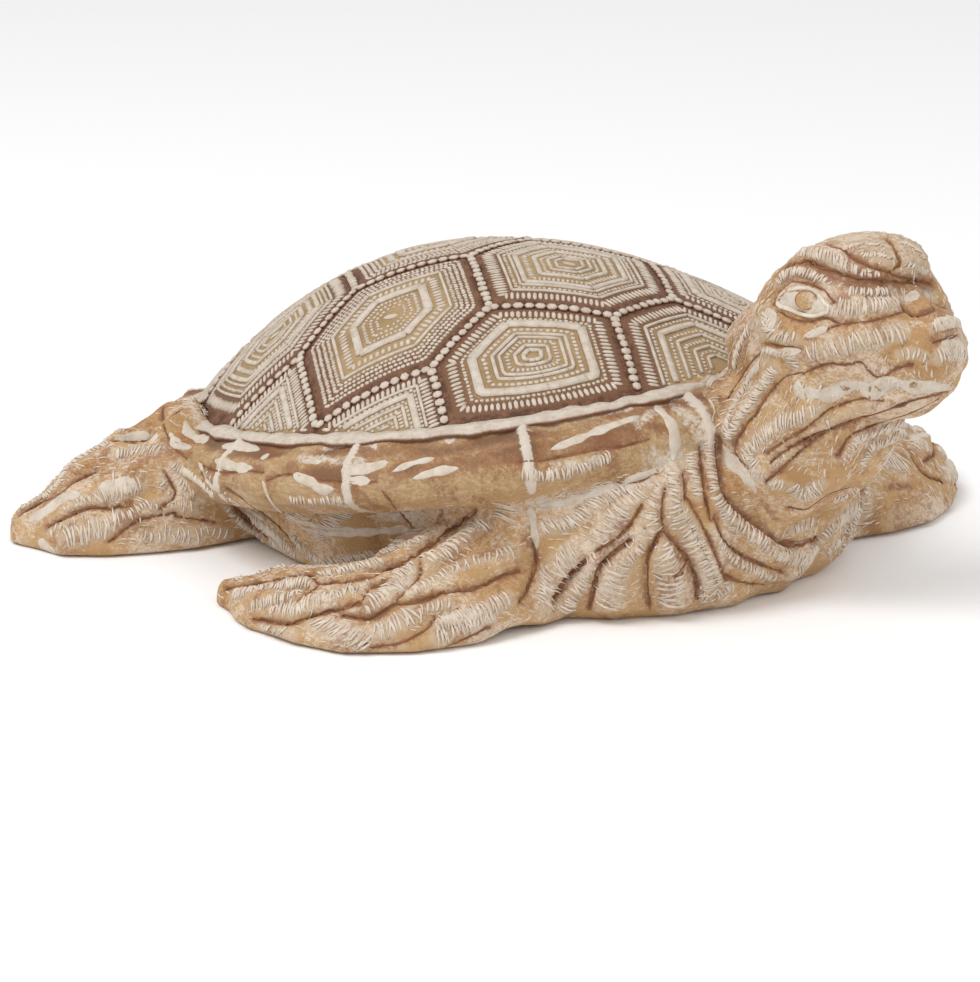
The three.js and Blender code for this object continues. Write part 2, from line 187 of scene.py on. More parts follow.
front = {
    "spine": [[49.73, -41], [59.85, -63.96], [52.03, -95.68], [25.75, -103.5], [5.91, -107.18]],
    "half": [23, 25.3, 21.16, 15.64, 2.76],
    "height": [30, 25.5, 16.5, 11.4, 5.5],
    "folds": 5,
}
rear = {
    "spine": [[-45.6, -45.1], [-50.3, -71.34], [-61.58, -95.02], [-77.56, -108.18]],
    "half": [23.5, 22.56, 18.8, 5.64],
    "height": [34, 34, 22.44, 7.15],
    "folds": 4,
}
leftTurn, leftLead = math.radians(13), 38.0


def flipperSurface(f, u, v):
    place = catmull(f["spine"], u)
    way = wayAlong(f["spine"], u)
    half, height = steps(f["half"], u), steps(f["height"], u)
    crown = np.maximum(0, 1 - np.abs(v) ** 2.6) ** 0.6
    z = np.maximum(1.5, height * crown * (1 - 0.18 * v))
    return np.stack([place[..., 0] - way[..., 1] * v * half, place[..., 1] + way[..., 0] * v * half, z], axis=-1)


def toLeft(p):
    q = p * mirror
    c, s = math.cos(leftTurn), math.sin(leftTurn)
    return np.stack([q[..., 0] * c - q[..., 1] * s + leftLead, q[..., 0] * s + q[..., 1] * c, q[..., 2]], axis=-1)


head = {"middle": np.array([129.0, 0, 78.0]), "length": 70.0, "width": 43.0, "height": 48.0}
headStations = np.array(
    [
        [-1, 0.4, -0.25, -1],
        [-0.85, 0.66, 0, -1.1],
        [-0.65, 0.84, 0.22, -1.1],
        [-0.4, 0.96, 0.62, -1.08],
        [-0.1, 1, 0.93, -1.05],
        [0.2, 0.95, 1.02, -1],
        [0.45, 0.86, 0.96, -0.95],
        [0.66, 0.7, 0.78, -0.88],
        [0.76, 0.6, 0.5, -0.84],
        [0.88, 0.5, 0.34, -0.78],
        [0.96, 0.4, 0.12, -0.76],
        [1, 0.25, -0.08, -0.6],
    ]
)


def oval(a):
    power = 2 / 2.3
    return np.sign(np.sin(a)) * np.abs(np.sin(a)) ** power, np.sign(np.cos(a)) * np.abs(np.cos(a)) ** power


def headSurface(share, a):
    wide, top, low = (np.interp(share, headStations[:, 0], headStations[:, k]) for k in (1, 2, 3))
    side, up = oval(a)
    z = (top + low) / 2 + up * (top - low) / 2
    return np.stack(
        [
            head["middle"][0] + share * head["length"] / 2,
            -side * wide * head["width"] / 2,
            head["middle"][2] + z * head["height"] / 2,
        ],
        axis=-1,
    )


neckSpine = [[76, 0, 32.3], [101, 0, 38], [116.4, 0, 47.6], [124.8, 0, 62], [127.6, 0, 78]]


def neckSurface(u, a):
    place = catmull(neckSpine, u)
    way = wayAlong(neckSpine, u)
    wide = 19 * (1.3 - 0.25 * smooth(u, 0, 0.55))
    deep = 20.5 * (1.1 - 0.08 * smooth(u, 0.6, 1))
    side, up = oval(a)
    x, z = place[..., 0] - way[..., 2] * up * deep, place[..., 2] + way[..., 0] * up * deep
    return np.stack([x, -side * wide, z], axis=-1)


def bodySurface(a, share):
    ahead = np.maximum(0, (np.cos(a) - 0.4) / 0.6) ** 1.7
    reach = -9 * (1 - ahead) + 21 * ahead * (1.15 - (1.2 * share - 0.5) ** 2)
    reach = reach + np.interp(share, [0, 0.1, 0.45, 0.8, 1], [-3, 0, 0.5, 1.5, 0])
    p = rimPlan(a)
    q = p + rimAway(a) * reach[..., None]
    edge = tip(p[..., 0], p[..., 1], -shell["rimDepth"] * 0.7)[..., 2]
    return np.stack([q[..., 0], q[..., 1], edge * share], axis=-1)


def grid(lo1, hi1, n1, lo2, hi2, n2):
    g = np.meshgrid(np.linspace(lo1, hi1, n1), np.linspace(lo2, hi2, n2), indexing="ij")
    return g[0].ravel(), g[1].ravel()


# Every form of the figurine as a sheet with two coordinates, for folds and strokes
fullTurn = 2 * math.pi * 0.995
sheets = {
    "frontRight": (lambda s, t: flipperSurface(front, s, t), grid(0, 1, 90, -1, 1, 50)),
    "frontLeft": (lambda s, t: toLeft(flipperSurface(front, s, t)), grid(0, 1, 90, -1, 1, 50)),
    "rearRight": (lambda s, t: flipperSurface(rear, s, t), grid(0, 1, 70, -1, 1, 50)),
    "rearLeft": (lambda s, t: flipperSurface(rear, s, t) * mirror, grid(0, 1, 70, -1, 1, 50)),
    "neck": (neckSurface, grid(0.1, 1, 60, 0, fullTurn, 100)),
    "head": (headSurface, grid(-1, 1, 70, 0, fullTurn, 110)),
    "body": (bodySurface, grid(-math.pi, math.pi, 360, 0.02, 1, 24)),
    "rim": (rimSurface, grid(-math.pi, math.pi, 420, 0, 7, 24)),
}
sheetNames = list(sheets)


def phaseOf(name, s, t):
    # whole numbers are the tops of the folds; the second value is how deep the folds are
    if name.startswith(("front", "rear")):
        folds = (front if name.startswith("front") else rear)["folds"]
        q = np.stack([s * 70, t * 20], axis=-1)
        return (t + 1) / 2 * folds + 0.16 * waves(q, 3, 30), smooth(s, 0.02, 0.2)
    if name == "neck":
        q = np.stack([s * 60, t * 20], axis=-1)
        phase = (t * 12 + 3.2 * s) / (2 * math.pi) + 0.14 * waves(q, 5, 25)
        return phase, smooth(s, 0, 0.25) * (1 - smooth(s, 0.82, 1) * 0.6)
    if name == "body":
        turned = np.abs(s)
        centre = math.radians(36)
        fanned = centre + (turned - centre) * (1 + 0.5 * t)
        q = np.stack([s * 80, t * 30], axis=-1)
        chest = fanned * 40 / (2 * math.pi) + 0.15 * waves(q, 8, 25)
        flank = turned * 5.5 + 2.2 * t + 0.15 * waves(q, 9, 22)
        isChest = np.cos(s) > 0.3
        return np.where(isChest, chest, flank), 0.3 + 0.7 * smooth(np.abs(np.cos(s) - 0.3), 0.0, 0.12)
    return np.full_like(s, 0.25), np.zeros_like(s)


# The skin is a finer copy of the carved solid; sizes in millimetres
skinSet = {
    "voxel": 1.1,
    "smoothing": 5,
    "hiddenShare": 0.71,  # how much of the hidden surface's faces is kept
    "fold": 1.5,
    "deep": 0.72,
    "ridgeHalf": 0.55,  # shares of a traced line's width
    "cutHalf": 0.44,
    "stainHalf": 0.42,
    "haloHalf": 1.3,
    "halo": 0.4,
    "sunk": 2.2,  # how far the dome lies below its plates
}

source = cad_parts["turtle"]
skin = source.copy()
skin.data = source.data.copy()
skin.name = "turtleSkin"
skin.data.name = "turtleSkin"
bpy.context.scene.collection.objects.link(skin)
skin.parent = None
skin.matrix_world = source.matrix_world.copy()
skin.data.materials.clear()
bpy.ops.object.select_all(action="DESELECT")
skin.select_set(True)
bpy.context.view_layer.objects.active = skin
bpy.ops.object.mode_set(mode="EDIT")
bpy.ops.mesh.select_all(action="SELECT")
bpy.ops.mesh.remove_doubles(threshold=0.00001)
bpy.ops.object.mode_set(mode="OBJECT")
m = skin.modifiers.new("fine", "REMESH")
m.mode = "VOXEL"
m.voxel_size = skinSet["voxel"] * mm
m.use_smooth_shade = True
bpy.ops.object.modifier_apply(modifier="fine")
m = skin.modifiers.new("soften", "SMOOTH")
m.factor = 0.5
m.iterations = skinSet["smoothing"]
bpy.ops.object.modifier_apply(modifier="soften")
print("skin remeshed:", len(skin.data.polygons), "faces")


def readPoints(mesh):
    co = np.empty(len(mesh.vertices) * 3)
    mesh.vertices.foreach_get("co", co)
    return co.reshape(-1, 3) / mm - shift


def readNormals(mesh):
    no = np.empty(len(mesh.vertices) * 3)
    mesh.vertex_normals.foreach_get("vector", no)
    return no.reshape(-1, 3)


def writePoints(mesh, p):
    mesh.vertices.foreach_set("co", ((p + shift) * mm).ravel())
    mesh.update()


def attribute(mesh, name, values):
    a = mesh.attributes.new(name, "FLOAT", "POINT")
    a.data.foreach_set("value", np.asarray(values, np.float32))


def underDome(p, margin):
    x = p[:, 0] * pitchCos + (p[:, 2] - shell["edge"]) * pitchSin
    z = -p[:, 0] * pitchSin + (p[:, 2] - shell["edge"]) * pitchCos
    q = np.stack([x, p[:, 1]], axis=-1)
    return (rho(q) < margin) & (z > domeZ(q) - 3) & (p[:, 0] < shell["halfLength"])


def countTriangles(o):
    return sum(len(p.vertices) - 2 for p in o.data.polygons)


P = readPoints(skin.data)
# faces that never show, below and under the plates, are made few, so that the carving can have more
hidden = underDome(P, 0.93) | (P[:, 2] < 0.3)
group = skin.vertex_groups.new(name="hidden")
group.add([int(i) for i in np.nonzero(hidden)[0]], 1.0, "REPLACE")
m = skin.modifiers.new("fewer", "DECIMATE")
m.ratio = skinSet["hiddenShare"]
m.vertex_group = "hidden"
bpy.ops.object.modifier_apply(modifier="fewer")
skin.vertex_groups.clear()
print("skin now", countTriangles(skin), "triangles")

P = readPoints(skin.data)
N = readNormals(skin.data)

# The camera is settled first, because the carved lines are laid out as it sees them
view = {
    "azimuth": 42.5,
    "elevation": 15.5,
    "distance": 1000.0,
    "focal": 3490.0,  # in picture points
    "target": (0, 0, 38),
    "at": (476, 382),  # where the target is seen
    "middle": (490, 491),
    "width": 982,
}
back = fromAngles(view["azimuth"], view["elevation"])
az = math.radians(view["azimuth"])
right = np.array([math.cos(az), math.sin(az), 0])
up = np.cross(back, right)
eyePlace = np.array(view["target"]) + back * view["distance"]
aside, below = ((view["middle"][k] - view["at"][k]) / view["focal"] for k in (0, 1))
look = unit(-back + aside * right - below * up)
lookRight = unit(np.cross(look, [0, 0, 1]))
lookUp = np.cross(lookRight, look)

# The carved lines of the right side, by where the camera sees them
# ridges: width, height, stroke length, stroke pitch, lean; cuts and patches: width, depth or height;
# stains (brown) and washes (pale): width
carving = {
    "ridges": [
        (4.2, 0.8, 3.6, 1.3, -20, "784,260 802,253 830,258 850,267 870,274 887,278"),
        (2.8, 0.7, 2.8, 1.2, 15, "778,285 786,274 802,271 818,277 828,285"),
        (4.5, 0.9, 4.4, 1.35, 5, "830,310 850,308 870,306 896,305"),
        (4.5, 0.6, 3.8, 1.2, 30, "767,311 767,327 776,337 794,340"),
        (5, 1, 4.8, 1.7, 0, "808,353 830,349 856,343 880,337 900,331"),
        (3.2, 0.6, 3.2, 1.2, 35, "764,347 786,353 796,365"),
        (4.6, 0.9, 3.6, 1.25, 25, "774,461 794,447 818,435 846,418 866,407 882,406"),
        (4.6, 0.8, 4, 1.3, 20, "744,463 756,443 780,425 802,417 818,411"),
        (3.6, 0.8, 3.4, 1.2, 20, "842,455 856,437 870,431 890,425 908,422"),
        (3.4, 0.7, 3.2, 1.2, 20, "862,465 870,449 886,440 904,434"),
        (4, 0.6, 2.6, 1.1, 40, "750,329 741,345 735,365"),
        (4.2, 0.6, 3, 1.1, 30, "762,363 748,383 736,405 726,429"),
        (4, 0.6, 3, 1.1, -30, "776,367 762,385 750,403 738,421 728,439"),
        (3, 0.5, 2.6, 1.3, 0, "932,329 944,323 958,323"),
        (3.6, 0.5, 3.8, 1.3, 0, "938,357 950,351 964,353"),
        (2, 0.3, 2.6, 2, 0, "900,355 912,353 926,357"),
        (3, 0.4, 2, 1, 50, "844,249 862,245 882,247"),
        (3, 0.4, 2, 1, 40, "860,257 876,255 890,259"),
        (3, 0.4, 2, 1, 40, "898,243 912,247 924,259"),
        (3, 0.4, 2, 1, 40, "904,265 914,267 926,273"),
        (2.4, 0.4, 2.6, 1.3, 0, "848,291 866,291 886,292"),
        (7.5, 1.3, 6.5, 1.35, 5, "578,548 561,565 549,585 543,605"),
        (5.5, 1.3, 5, 1.35, 5, "600,558 586,575 571,592 562,608"),
        (8, 1.5, 7, 1.35, 5, "640,536 622,555 614,575 608,595 600,609"),
        (7.5, 1.5, 6.5, 1.3, 0, "658,544 665,560 670,578 672,595 670,608"),
        (5.5, 1.1, 5, 1.35, -15, "642,491 620,510 608,525 598,540"),
        (4.5, 1, 4, 1.3, 0, "662,482 656,500 652,518 656,535"),
        (5, 1.1, 4.6, 1.35, 0, "675,472 675,488 673,502 681,520 691,540 700,562 709,585 710,605"),
        (3.6, 0.9, 3.2, 1.3, 0, "692,450 694,475 698,495"),
        (3.4, 0.9, 3, 1.3, 0, "709,440 710,465 713,488 720,505 726,520"),
        (4.4, 1, 4.2, 1.35, -35, "715,530 726,546 740,559 762,570 778,576"),
        (4.6, 1.1, 4.4, 1.35, -25, "725,508 740,522 758,535 775,548 791,555 808,560"),
        (4.4, 1, 4, 1.3, 10, "775,579 798,570 811,552 821,538 838,521 860,505"),
        (4, 0.9, 3.6, 1.3, 0, "748,450 752,465 765,478 780,486"),
        (4, 0.9, 3.6, 1.3, 10, "788,485 805,494 822,484"),
        (3, 0.6, 3, 1.5, 10, "828,502 848,495 860,488"),
        (3, 0.3, 3.6, 1.6, 10, "792,530 808,522 818,518"),
        (3.6, 0.8, 3.4, 1.3, 0, "682,510 698,530 715,560 725,585"),
        (3, 0.5, 3, 1.4, 0, "522,475 550,475 575,471 610,456"),
        (4, 0.8, 4.2, 1.4, -25, "542,528 572,520 602,500 640,484"),
        (2.6, 0.4, 3, 1.6, 0, "695,592 710,598 732,585"),
        (2.4, 0.3, 2.6, 1.8, 0, "825,555 842,540 858,532"),
        (2.4, 0.6, 2.2, 1.1, -35, "234,581 260,573 292,566 318,566"),
        (3, 0.7, 2.6, 1.1, -40, "318,566 350,559 385,553 410,544 425,538"),
        (4, 0.8, 3.2, 1.1, -35, "321,576 350,570 382,562"),
        (4.2, 0.7, 3.6, 1.1, 0, "235,594 260,589 285,585 311,582"),
        (4, 0.7, 3.2, 1.1, 0, "252,608 275,600 298,594"),
        (5.6, 1.1, 5, 1.15, 5, "271,616 292,611 310,604 335,596 366,589"),
        (5.6, 1.1, 5, 1.2, 0, "360,610 380,599 396,586 418,571"),
        (5.6, 1.1, 4.8, 1.2, -20, "425,560 448,548 468,532 484,521"),
        (5, 0.8, 4, 2.2, 15, "410,592 430,583 450,573 475,562 512,552"),
        (3.4, 0.6, 3, 1.6, 15, "425,608 448,604"),
        (5, 0.7, 5, 1.5, 35, "315,622 340,632 368,638"),
        (5.4, 1, 5, 1.3, 10, "370,636 395,626 419,610"),
        (5, 1, 4, 1.3, 0, "432,625 455,621 485,610 508,599"),
        (4, 0.8, 3.6, 1.4, 10, "436,638 460,629 490,619"),
        (3, 0.3, 4, 2.2, 30, "264,625 278,630 292,636"),
        (3.4, 0.3, 3.4, 2, 30, "350,642 375,648 400,645"),
        (3, 0.8, 2.6, 1.2, 0, "235,518 252,529 271,544"),
        (3, 0.8, 2.6, 1.2, 0, "268,526 285,544 302,558"),
        (3, 0.8, 2.6, 1.2, 0, "292,538 310,554 320,561"),
        (2.6, 0.6, 2.4, 1.2, -35, "21,509 40,500 59,484 68,468 88,454 108,444"),
        (3.6, 0.7, 3.4, 1.3, 10, "114,455 135,452 160,450"),
        (5, 0.9, 4.2, 1.3, 5, "50,528 65,518 82,508 100,498 120,491 140,484"),
        (6, 0.9, 5.2, 1.35, 5, "64,540 90,532 115,525 140,516 165,508 190,510"),
        (3, 0.3, 3, 2.6, 0, "160,530 185,534 208,530 228,534"),
        (3, 0.3, 3, 2.6, 0, "140,535 172,538 200,540"),
        (4, 0.7, 4.2, 1.7, 0, "165,478 180,486 205,498"),
        (2.8, 0.7, 2.4, 1.2, 0, "205,475 225,495 250,520 272,540 292,556"),
        (2.8, 0.7, 2.4, 1.2, 0, "235,508 260,524 282,540"),
        (2.6, 0.5, 2.2, 1.2, 0, "172,465 195,478 218,498 238,518 265,539"),
        (2.4, 0.3, 2.4, 1.8, 0, "290,500 310,502 350,500"),
    ],
    "cuts": [
        (2.6, 1.6, "778,268 790,263 806,262 824,269 842,276 860,281 882,282 902,282 920,281"),
        (2.2, 1.5, "828,244 842,247 856,259 870,265 892,273 902,279 920,281 932,283"),
        (1.8, 1.2, "887,238 894,247 900,261 894,272"),
        (1.4, 0.7, "814,335 838,325 870,321 902,312"),
        (1.6, 1, "774,305 780,291 794,282 810,283 824,291 834,302"),
        (1.4, 0.8, "778,311 794,319 810,321 826,318 838,323"),
        (1.6, 1, "802,374 826,365 848,365 860,363 875,377 885,377 896,369 912,365"),
        (1.2, 1, "806,394 818,395 830,395"),
        (1, 0.7, "841,388 856,385"),
        (1.8, 1.5, "768,463 784,451 810,438 838,427 864,418 890,410 912,402 950,393"),
        (1.5, 1, "766,453 786,440 810,426 828,411 860,399 882,401"),
        (1.6, 1, "838,455 850,437 870,427 890,420 912,413 940,399"),
        (1.8, 1.1, "778,383 764,399 756,413 742,431 734,451 750,473"),
        (1.4, 0.9, "762,349 750,363 739,379 728,397"),
        (2, 1.5, "902,305 910,313 922,313 932,309 938,305 955,311"),
        (1.2, 0.8, "933,343 946,339 959,335"),
        (1.4, 0.8, "762,343 778,346 802,349"),
        (1.2, 0.6, "802,373 786,377 778,383"),
        (2, 1.6, "585,561 566,580 554,600"),
        (2.2, 1.8, "630,540 601,566 593,590 588,611"),
        (2, 1.8, "660,532 647,560 646,590 650,611"),
        (2, 1.6, "665,530 685,555 696,580 698,602"),
        (1.6, 1.2, "685,495 700,520 716,555 726,580"),
        (1.8, 1.4, "715,518 724,539 740,554 762,565 782,572"),
        (2.6, 2.2, "718,438 720,462 726,492 741,512 765,529 782,542 798,545 816,540"),
        (1.4, 1.2, "700,445 702,470 706,500 711,520"),
        (1.4, 1.2, "683,472 685,488 686,500"),
        (1.4, 1, "665,488 662,508 664,530"),
        (1.8, 1.3, "618,482 640,480 660,470"),
        (1.6, 1.2, "598,550 615,540 630,525 642,505"),
        (1.6, 1, "765,482 778,472 798,454 825,432"),
        (1.4, 1, "788,508 805,510 828,495 850,488"),
        (1.6, 1.1, "725,575 740,582 765,585"),
        (1.8, 1.2, "520,462 550,458 600,448 625,445 650,438"),
        (1.6, 0.9, "675,575 690,560"),
        (1.8, 1.3, "225,588 260,582 292,576 310,576 318,583"),
        (2, 1.6, "318,583 360,578 390,568 422,550 450,530 475,511"),
        (1.8, 1.5, "252,618 292,623 310,616 335,610 359,602"),
        (1.2, 0.8, "298,601 310,592 318,585"),
        (2, 1.5, "340,615 372,618 395,605 422,600 445,592 475,588 498,578 520,570"),
        (1.4, 0.9, "359,605 368,592 385,582"),
        (1.4, 0.9, "420,562 420,575 396,600"),
        (1.6, 1, "370,648 400,643 425,630 435,618"),
        (1.4, 0.8, "442,649 472,636 490,626"),
        (2, 1.4, "521,602 531,582 535,562 532,542"),
        (1.4, 0.9, "428,549 435,542 450,528"),
        (2, 1.5, "18,515 38,504 60,491 75,480 95,471"),
        (2, 1.5, "48,526 70,515 88,508 110,508 130,504"),
        (1.4, 1, "108,543 140,520 175,513"),
        (1.4, 1, "110,440 130,441 150,440"),
        (1.2, 0.8, "175,516 200,520 215,522"),
        (1.6, 1, "165,472 175,495 160,508"),
        (1.6, 1.2, "200,472 218,490 240,512 270,540"),
        (1.4, 1.1, "225,488 245,502 270,520 295,545"),
        (1.6, 0.9, "166,398 162,412 165,430 174,446 186,458"),
        (2.2, 1, "200,465 222,472 242,470 262,472"),
        (2, 1, "265,480 285,474 320,479 350,481 375,482"),
        (1.6, 1, "165,418 182,408"),
        (1.6, 1, "380,490 395,508 412,528"),
    ],
    "patches": [
        (6.4, 1.2, "795,395 799,391 805,389"),
        (4.6, 1.4, "796,393 810,393 828,395 844,387 860,385 871,390 890,382 908,385 930,387 952,389"),
        (2.6, 0.4, "804,337 814,333 828,327"),
        (4.5, 0.4, "769,309 770,321 774,329"),
        (3, 0.3, "904,301 916,295 930,295"),
        (4, 0.3, "933,325 944,323 956,321"),
        (4.5, 0.3, "941,349 952,345 964,347"),
        (2.6, 0.6, "720,445 730,457 744,469 762,480"),
        (3, 0.3, "766,349 780,353 802,350"),
        (3, 0.6, "722,450 732,465 750,482 756,494"),
        (2.6, 0.9, "529,505 534,525 536,550"),
        (3.4, 0.9, "655,405 672,425 675,450 672,462"),
        (3, 0.5, "550,450 575,440 605,428 640,416"),
        (2.6, 0.6, "538,506 575,500 620,484 665,468"),
        (3, 0.4, "432,622 455,620 475,614"),
        (2, 0.8, "300,528 330,533 365,533 400,530 425,529"),
        (3.6, 0.4, "28,522 50,508 62,498 82,494"),
        (4.6, 0.3, "98,490 118,486 138,485"),
        (4, 0.3, "38,540 50,550 59,555"),
        (4, 0.3, "118,439 140,436 158,438"),
        (3.6, 0.3, "185,420 190,434 208,441"),
        (3, 0.3, "169,432 178,444 192,448"),
        (3.6, 0.3, "222,446 240,446 260,450"),
        (3.4, 0.3, "215,460 232,466 252,468"),
        (2.6, 0.3, "260,459 270,454"),
        (2.4, 0.3, "302,461 322,462"),
        (3.4, 0.3, "342,471 368,468 388,462"),
        (2.6, 0.3, "342,480 370,481"),
        (3.4, 0.6, "292,474 310,482 320,489 335,489"),
        (2.6, 0.3, "412,479 435,472 459,468"),
        (2, 0.3, "392,472 410,464 435,458"),
        (1.6, 0.6, "262,480 270,500 285,515 310,524 350,530 410,529"),
        (1.6, 0.6, "198,462 210,485 235,502 265,520"),
    ],
    "stains": [
        (3.4, "205,430 232,440 262,450"),
        (3.2, "290,468 330,474 375,474"),
        (3.6, "395,471 440,468 480,462 507,456"),
        (3.6, "522,450 548,446 575,443 610,436 650,426"),
        (3.0, "430,455 470,447 505,440"),
        (3.0, "862,275 885,281 915,284 930,283"),
        (3.0, "800,272 825,276 850,282 868,288"),
        (2.4, "700,470 712,488 735,510 760,530"),
        (2.4, "660,520 672,545 690,565"),
    ],
    "washes": [
        (3.0, "636,424 650,414 660,408"),
        (5.0, "676,408 694,424 706,444"),
        (5.0, "650,456 664,462 676,452"),
        (5.0, "535,506 570,500 610,492 650,478"),
        (3.4, "186,398 196,412 204,424"),
        (3.4, "300,458 330,460 360,462"),
        (3.0, "555,466 580,464 600,460"),
        (4.0, "330,500 370,512 420,516"),
    ],
}

# Broad sculpting: a place in the view, how far round it the skin moves, and the move (right, up) as seen
sculpt = [
    ((940, 289), 10, (-5.6, -0.6)),
    ((928, 262), 11, (-2.4, 0.0)),
    ((938, 408), 12, (-0.6, 3.2)),
    ((752, 300), 17, (3.6, 0.0)),
    ((738, 345), 17, (3.4, 0.0)),
    ((962, 366), 8, (1.2, -1.0)),
    ((948, 296), 8, (-3.2, -0.4)),
    ((944, 398), 13, (-1.6, 2.6)),
    ((724, 352), 17, (7.0, 0.4)),
    ((732, 322), 15, (2.8, -0.2)),
    ((718, 382), 15, (6.0, 0.4)),
    ((886, 240), 6, (0.0, -1.3)),
    ((828, 568), 14, (-0.8, 3.0)),
    ((772, 588), 12, (-0.4, 2.2)),
    ((147, 416), 10, (0.6, -8.0)),
    ((139, 426), 9, (0.2, -6.0)),
    ((519, 622), 13, (0.0, 3.2)),
]


def viewRay(x, y):
    ray = look * view["focal"] + lookRight * (x - view["middle"][0]) - lookUp * (y - view["middle"][1])
    return Vector((eyePlace + shift) * mm), Vector(unit(ray))


def castOn(tree, x, y):
    # the place on the skin that the camera sees there, or None
    spot = tree.ray_cast(*viewRay(x, y))[0]
    return None if spot is None else np.array(spot) / mm - shift


def skinNow():
    return BVHTree.FromObject(skin, bpy.context.evaluated_depsgraph_get())


# Places rubbed pale all over: a place in the view and how far round it
frosted = [
    ((872, 252), 13),
    ((916, 256), 9),
    ((800, 262), 9),
    ((765, 330), 7),
    ((762, 345), 6),
    ((925, 290), 5),
    ((665, 470), 9),
    ((650, 520), 9),
]

firstTree = skinNow()
for (x, y), reach, (sideways, upwards) in sculpt:
    spot = castOn(firstTree, x, y)
    if spot is None:
        continue
    move = lookRight * sideways + lookUp * upwards
    share = 0.5 if abs(spot[1]) < reach * 0.4 else 1  # near the middle, both sides move the same skin
    for side in (np.ones(3), mirror):
        gap = np.linalg.norm(P - spot * side, axis=1)
        P = P + (move * side)[None] * (1 - smooth(gap, 0, reach))[:, None] * share
writePoints(skin.data, P)
N = readNormals(skin.data)
bareTree = skinNow()


def castLine(text):
    # the runs of skin that a line of places in the view falls on
    pts = [[float(v) for v in pair.split(",")] for pair in text.split()]
    span = sum(math.dist(a, b) for a, b in zip(pts, pts[1:]))
    runs, run = [], []
    for x, y in catmull(pts, np.linspace(0, 1, max(4, int(span / 2)))):
        spot = castOn(bareTree, x, y)
        if run and (spot is None or np.linalg.norm(spot - run[-1]) > 5):
            runs.append(run)
            run = []
        if spot is not None:
            run.append(spot)
    runs.append(run)
    return [np.array(q) for q in runs if len(q) > 3]


def nearestOn(tree, points):
    # the nearest places on a surface, their normals and how far away they are
    flat = points.reshape(-1, 3)
    out, nor, gap = np.empty_like(flat), np.empty_like(flat), np.empty(len(flat))
    for i, q in enumerate((flat + shift) * mm):
        co, no, _, d = tree.find_nearest(Vector(q))
        out[i], nor[i], gap[i] = np.array(co) / mm - shift, no, d / mm
    return out.reshape(points.shape), nor.reshape(points.shape), gap.reshape(points.shape[:-1])


def treeOf(points):
    t = kdtree.KDTree(len(points))
    for i, q in enumerate(points):
        t.insert(q, i)
    t.balance()
    return t


# Which sheet each skin point lies on, and where on it
allPoints, owner, sAll, tAll = [], [], [], []
for k, name in enumerate(sheetNames):
    surface, (s, t) = sheets[name]
    q = surface(s, t)
    allPoints.append(q)
    owner.append(np.full(len(q), k))
    sAll.append(s)
    tAll.append(t)
owner, sAll, tAll = (np.concatenate(part) for part in (owner, sAll, tAll))
sheetTree = treeOf(np.vstack(allPoints))

sheetOf = np.zeros(len(P), int)
S = np.zeros(len(P))
T = np.zeros(len(P))
for i, q in enumerate(P):
    found = sheetTree.find_n(q, 4)
    first = found[0][1]
    sheetOf[i] = owner[first]
    total = 0.0
    for _, j, d in found:
        if owner[j] != owner[first] or abs(tAll[j] - tAll[first]) > 1 or abs(sAll[j] - sAll[first]) > 1:
            continue
        w = 1 / (d * d + 0.05)
        total += w
        S[i] += w * sAll[j]
        T[i] += w * tAll[j]
    S[i] /= total
    T[i] /= total
print("skin points placed on the forms")

# the traced lines on the skin, and their mirror images where the other side has nothing traced
carved = {}
for kind, rows in carving.items():
    carved[kind] = [(line[:-1], run) for line in rows for run in castLine(line[-1])]
skinPoints = treeOf(P)
seen = treeOf(np.vstack([run for rows in carved.values() for _, run in rows]))
for kind, rows in carved.items():
    for spec, run in list(rows):
        middle = run[len(run) // 2]
        if middle[1] > -3:
            continue
        onFlipper = sheetNames[sheetOf[skinPoints.find(middle)[1]]] == "frontRight"
        other = nearestOn(bareTree, toLeft(run) if onFlipper else run * mirror)[0]
        if min(seen.find(q)[2] for q in (other[0], other[len(other) // 2], other[-1])) < 3:
            continue
        if kind == "ridges":
            spec = spec[:4] + (-spec[4],)
        rows.append((spec, other))
print({kind: len(rows) for kind, rows in carved.items()})


def nearLines(kind):
    # each skin point's distance to the nearest line of a kind, and that line's numbers
    rows = carved[kind]
    pts = np.vstack([run for _, run in rows])
    spec = np.array([list(sp) for sp, run in rows for _ in run])
    t = treeOf(pts)
    d, at = np.empty(len(P)), np.empty(len(P), int)
    for i, q in enumerate(P):
        _, at[i], d[i] = t.find(q)
    return d, spec[at]


def fade(gap, reach, power=2):
    # 1 at no distance, falling away softly over the reach
    return np.exp(-((gap / reach) ** power))


ridgeGap, ridgeSpec = nearLines("ridges")
cutGap, cutSpec = nearLines("cuts")
stainGap, stainSpec = nearLines("stains")
washGap, washSpec = nearLines("washes")
ridgeShape = fade(ridgeGap, skinSet["ridgeHalf"] * ridgeSpec[:, 0])
cutShape = fade(cutGap, skinSet["cutHalf"] * cutSpec[:, 0])
traced = 1 - smooth(np.minimum(ridgeGap, cutGap), 5, 11)

# the plain folds of the forms, away from the traced lines
lift, stain, lime, hatched = (np.zeros(len(P)) for _ in range(4))
for k, name in enumerate(sheetNames):
    on = sheetOf == k
    if not on.any() or name in ("rim", "head"):
        continue
    phase, depth = phaseOf(name, S[on], T[on])
    f = np.abs(np.cos(phase * math.pi))
    lift[on] = skinSet["fold"] * depth * (f**0.55 - 0.62)
    stain[on] = depth * fade(f, 0.3)
    lime[on] = depth * smooth(f, 0.6, 1)
    hatched[on] = depth * smooth(f, 0.35, 0.9)

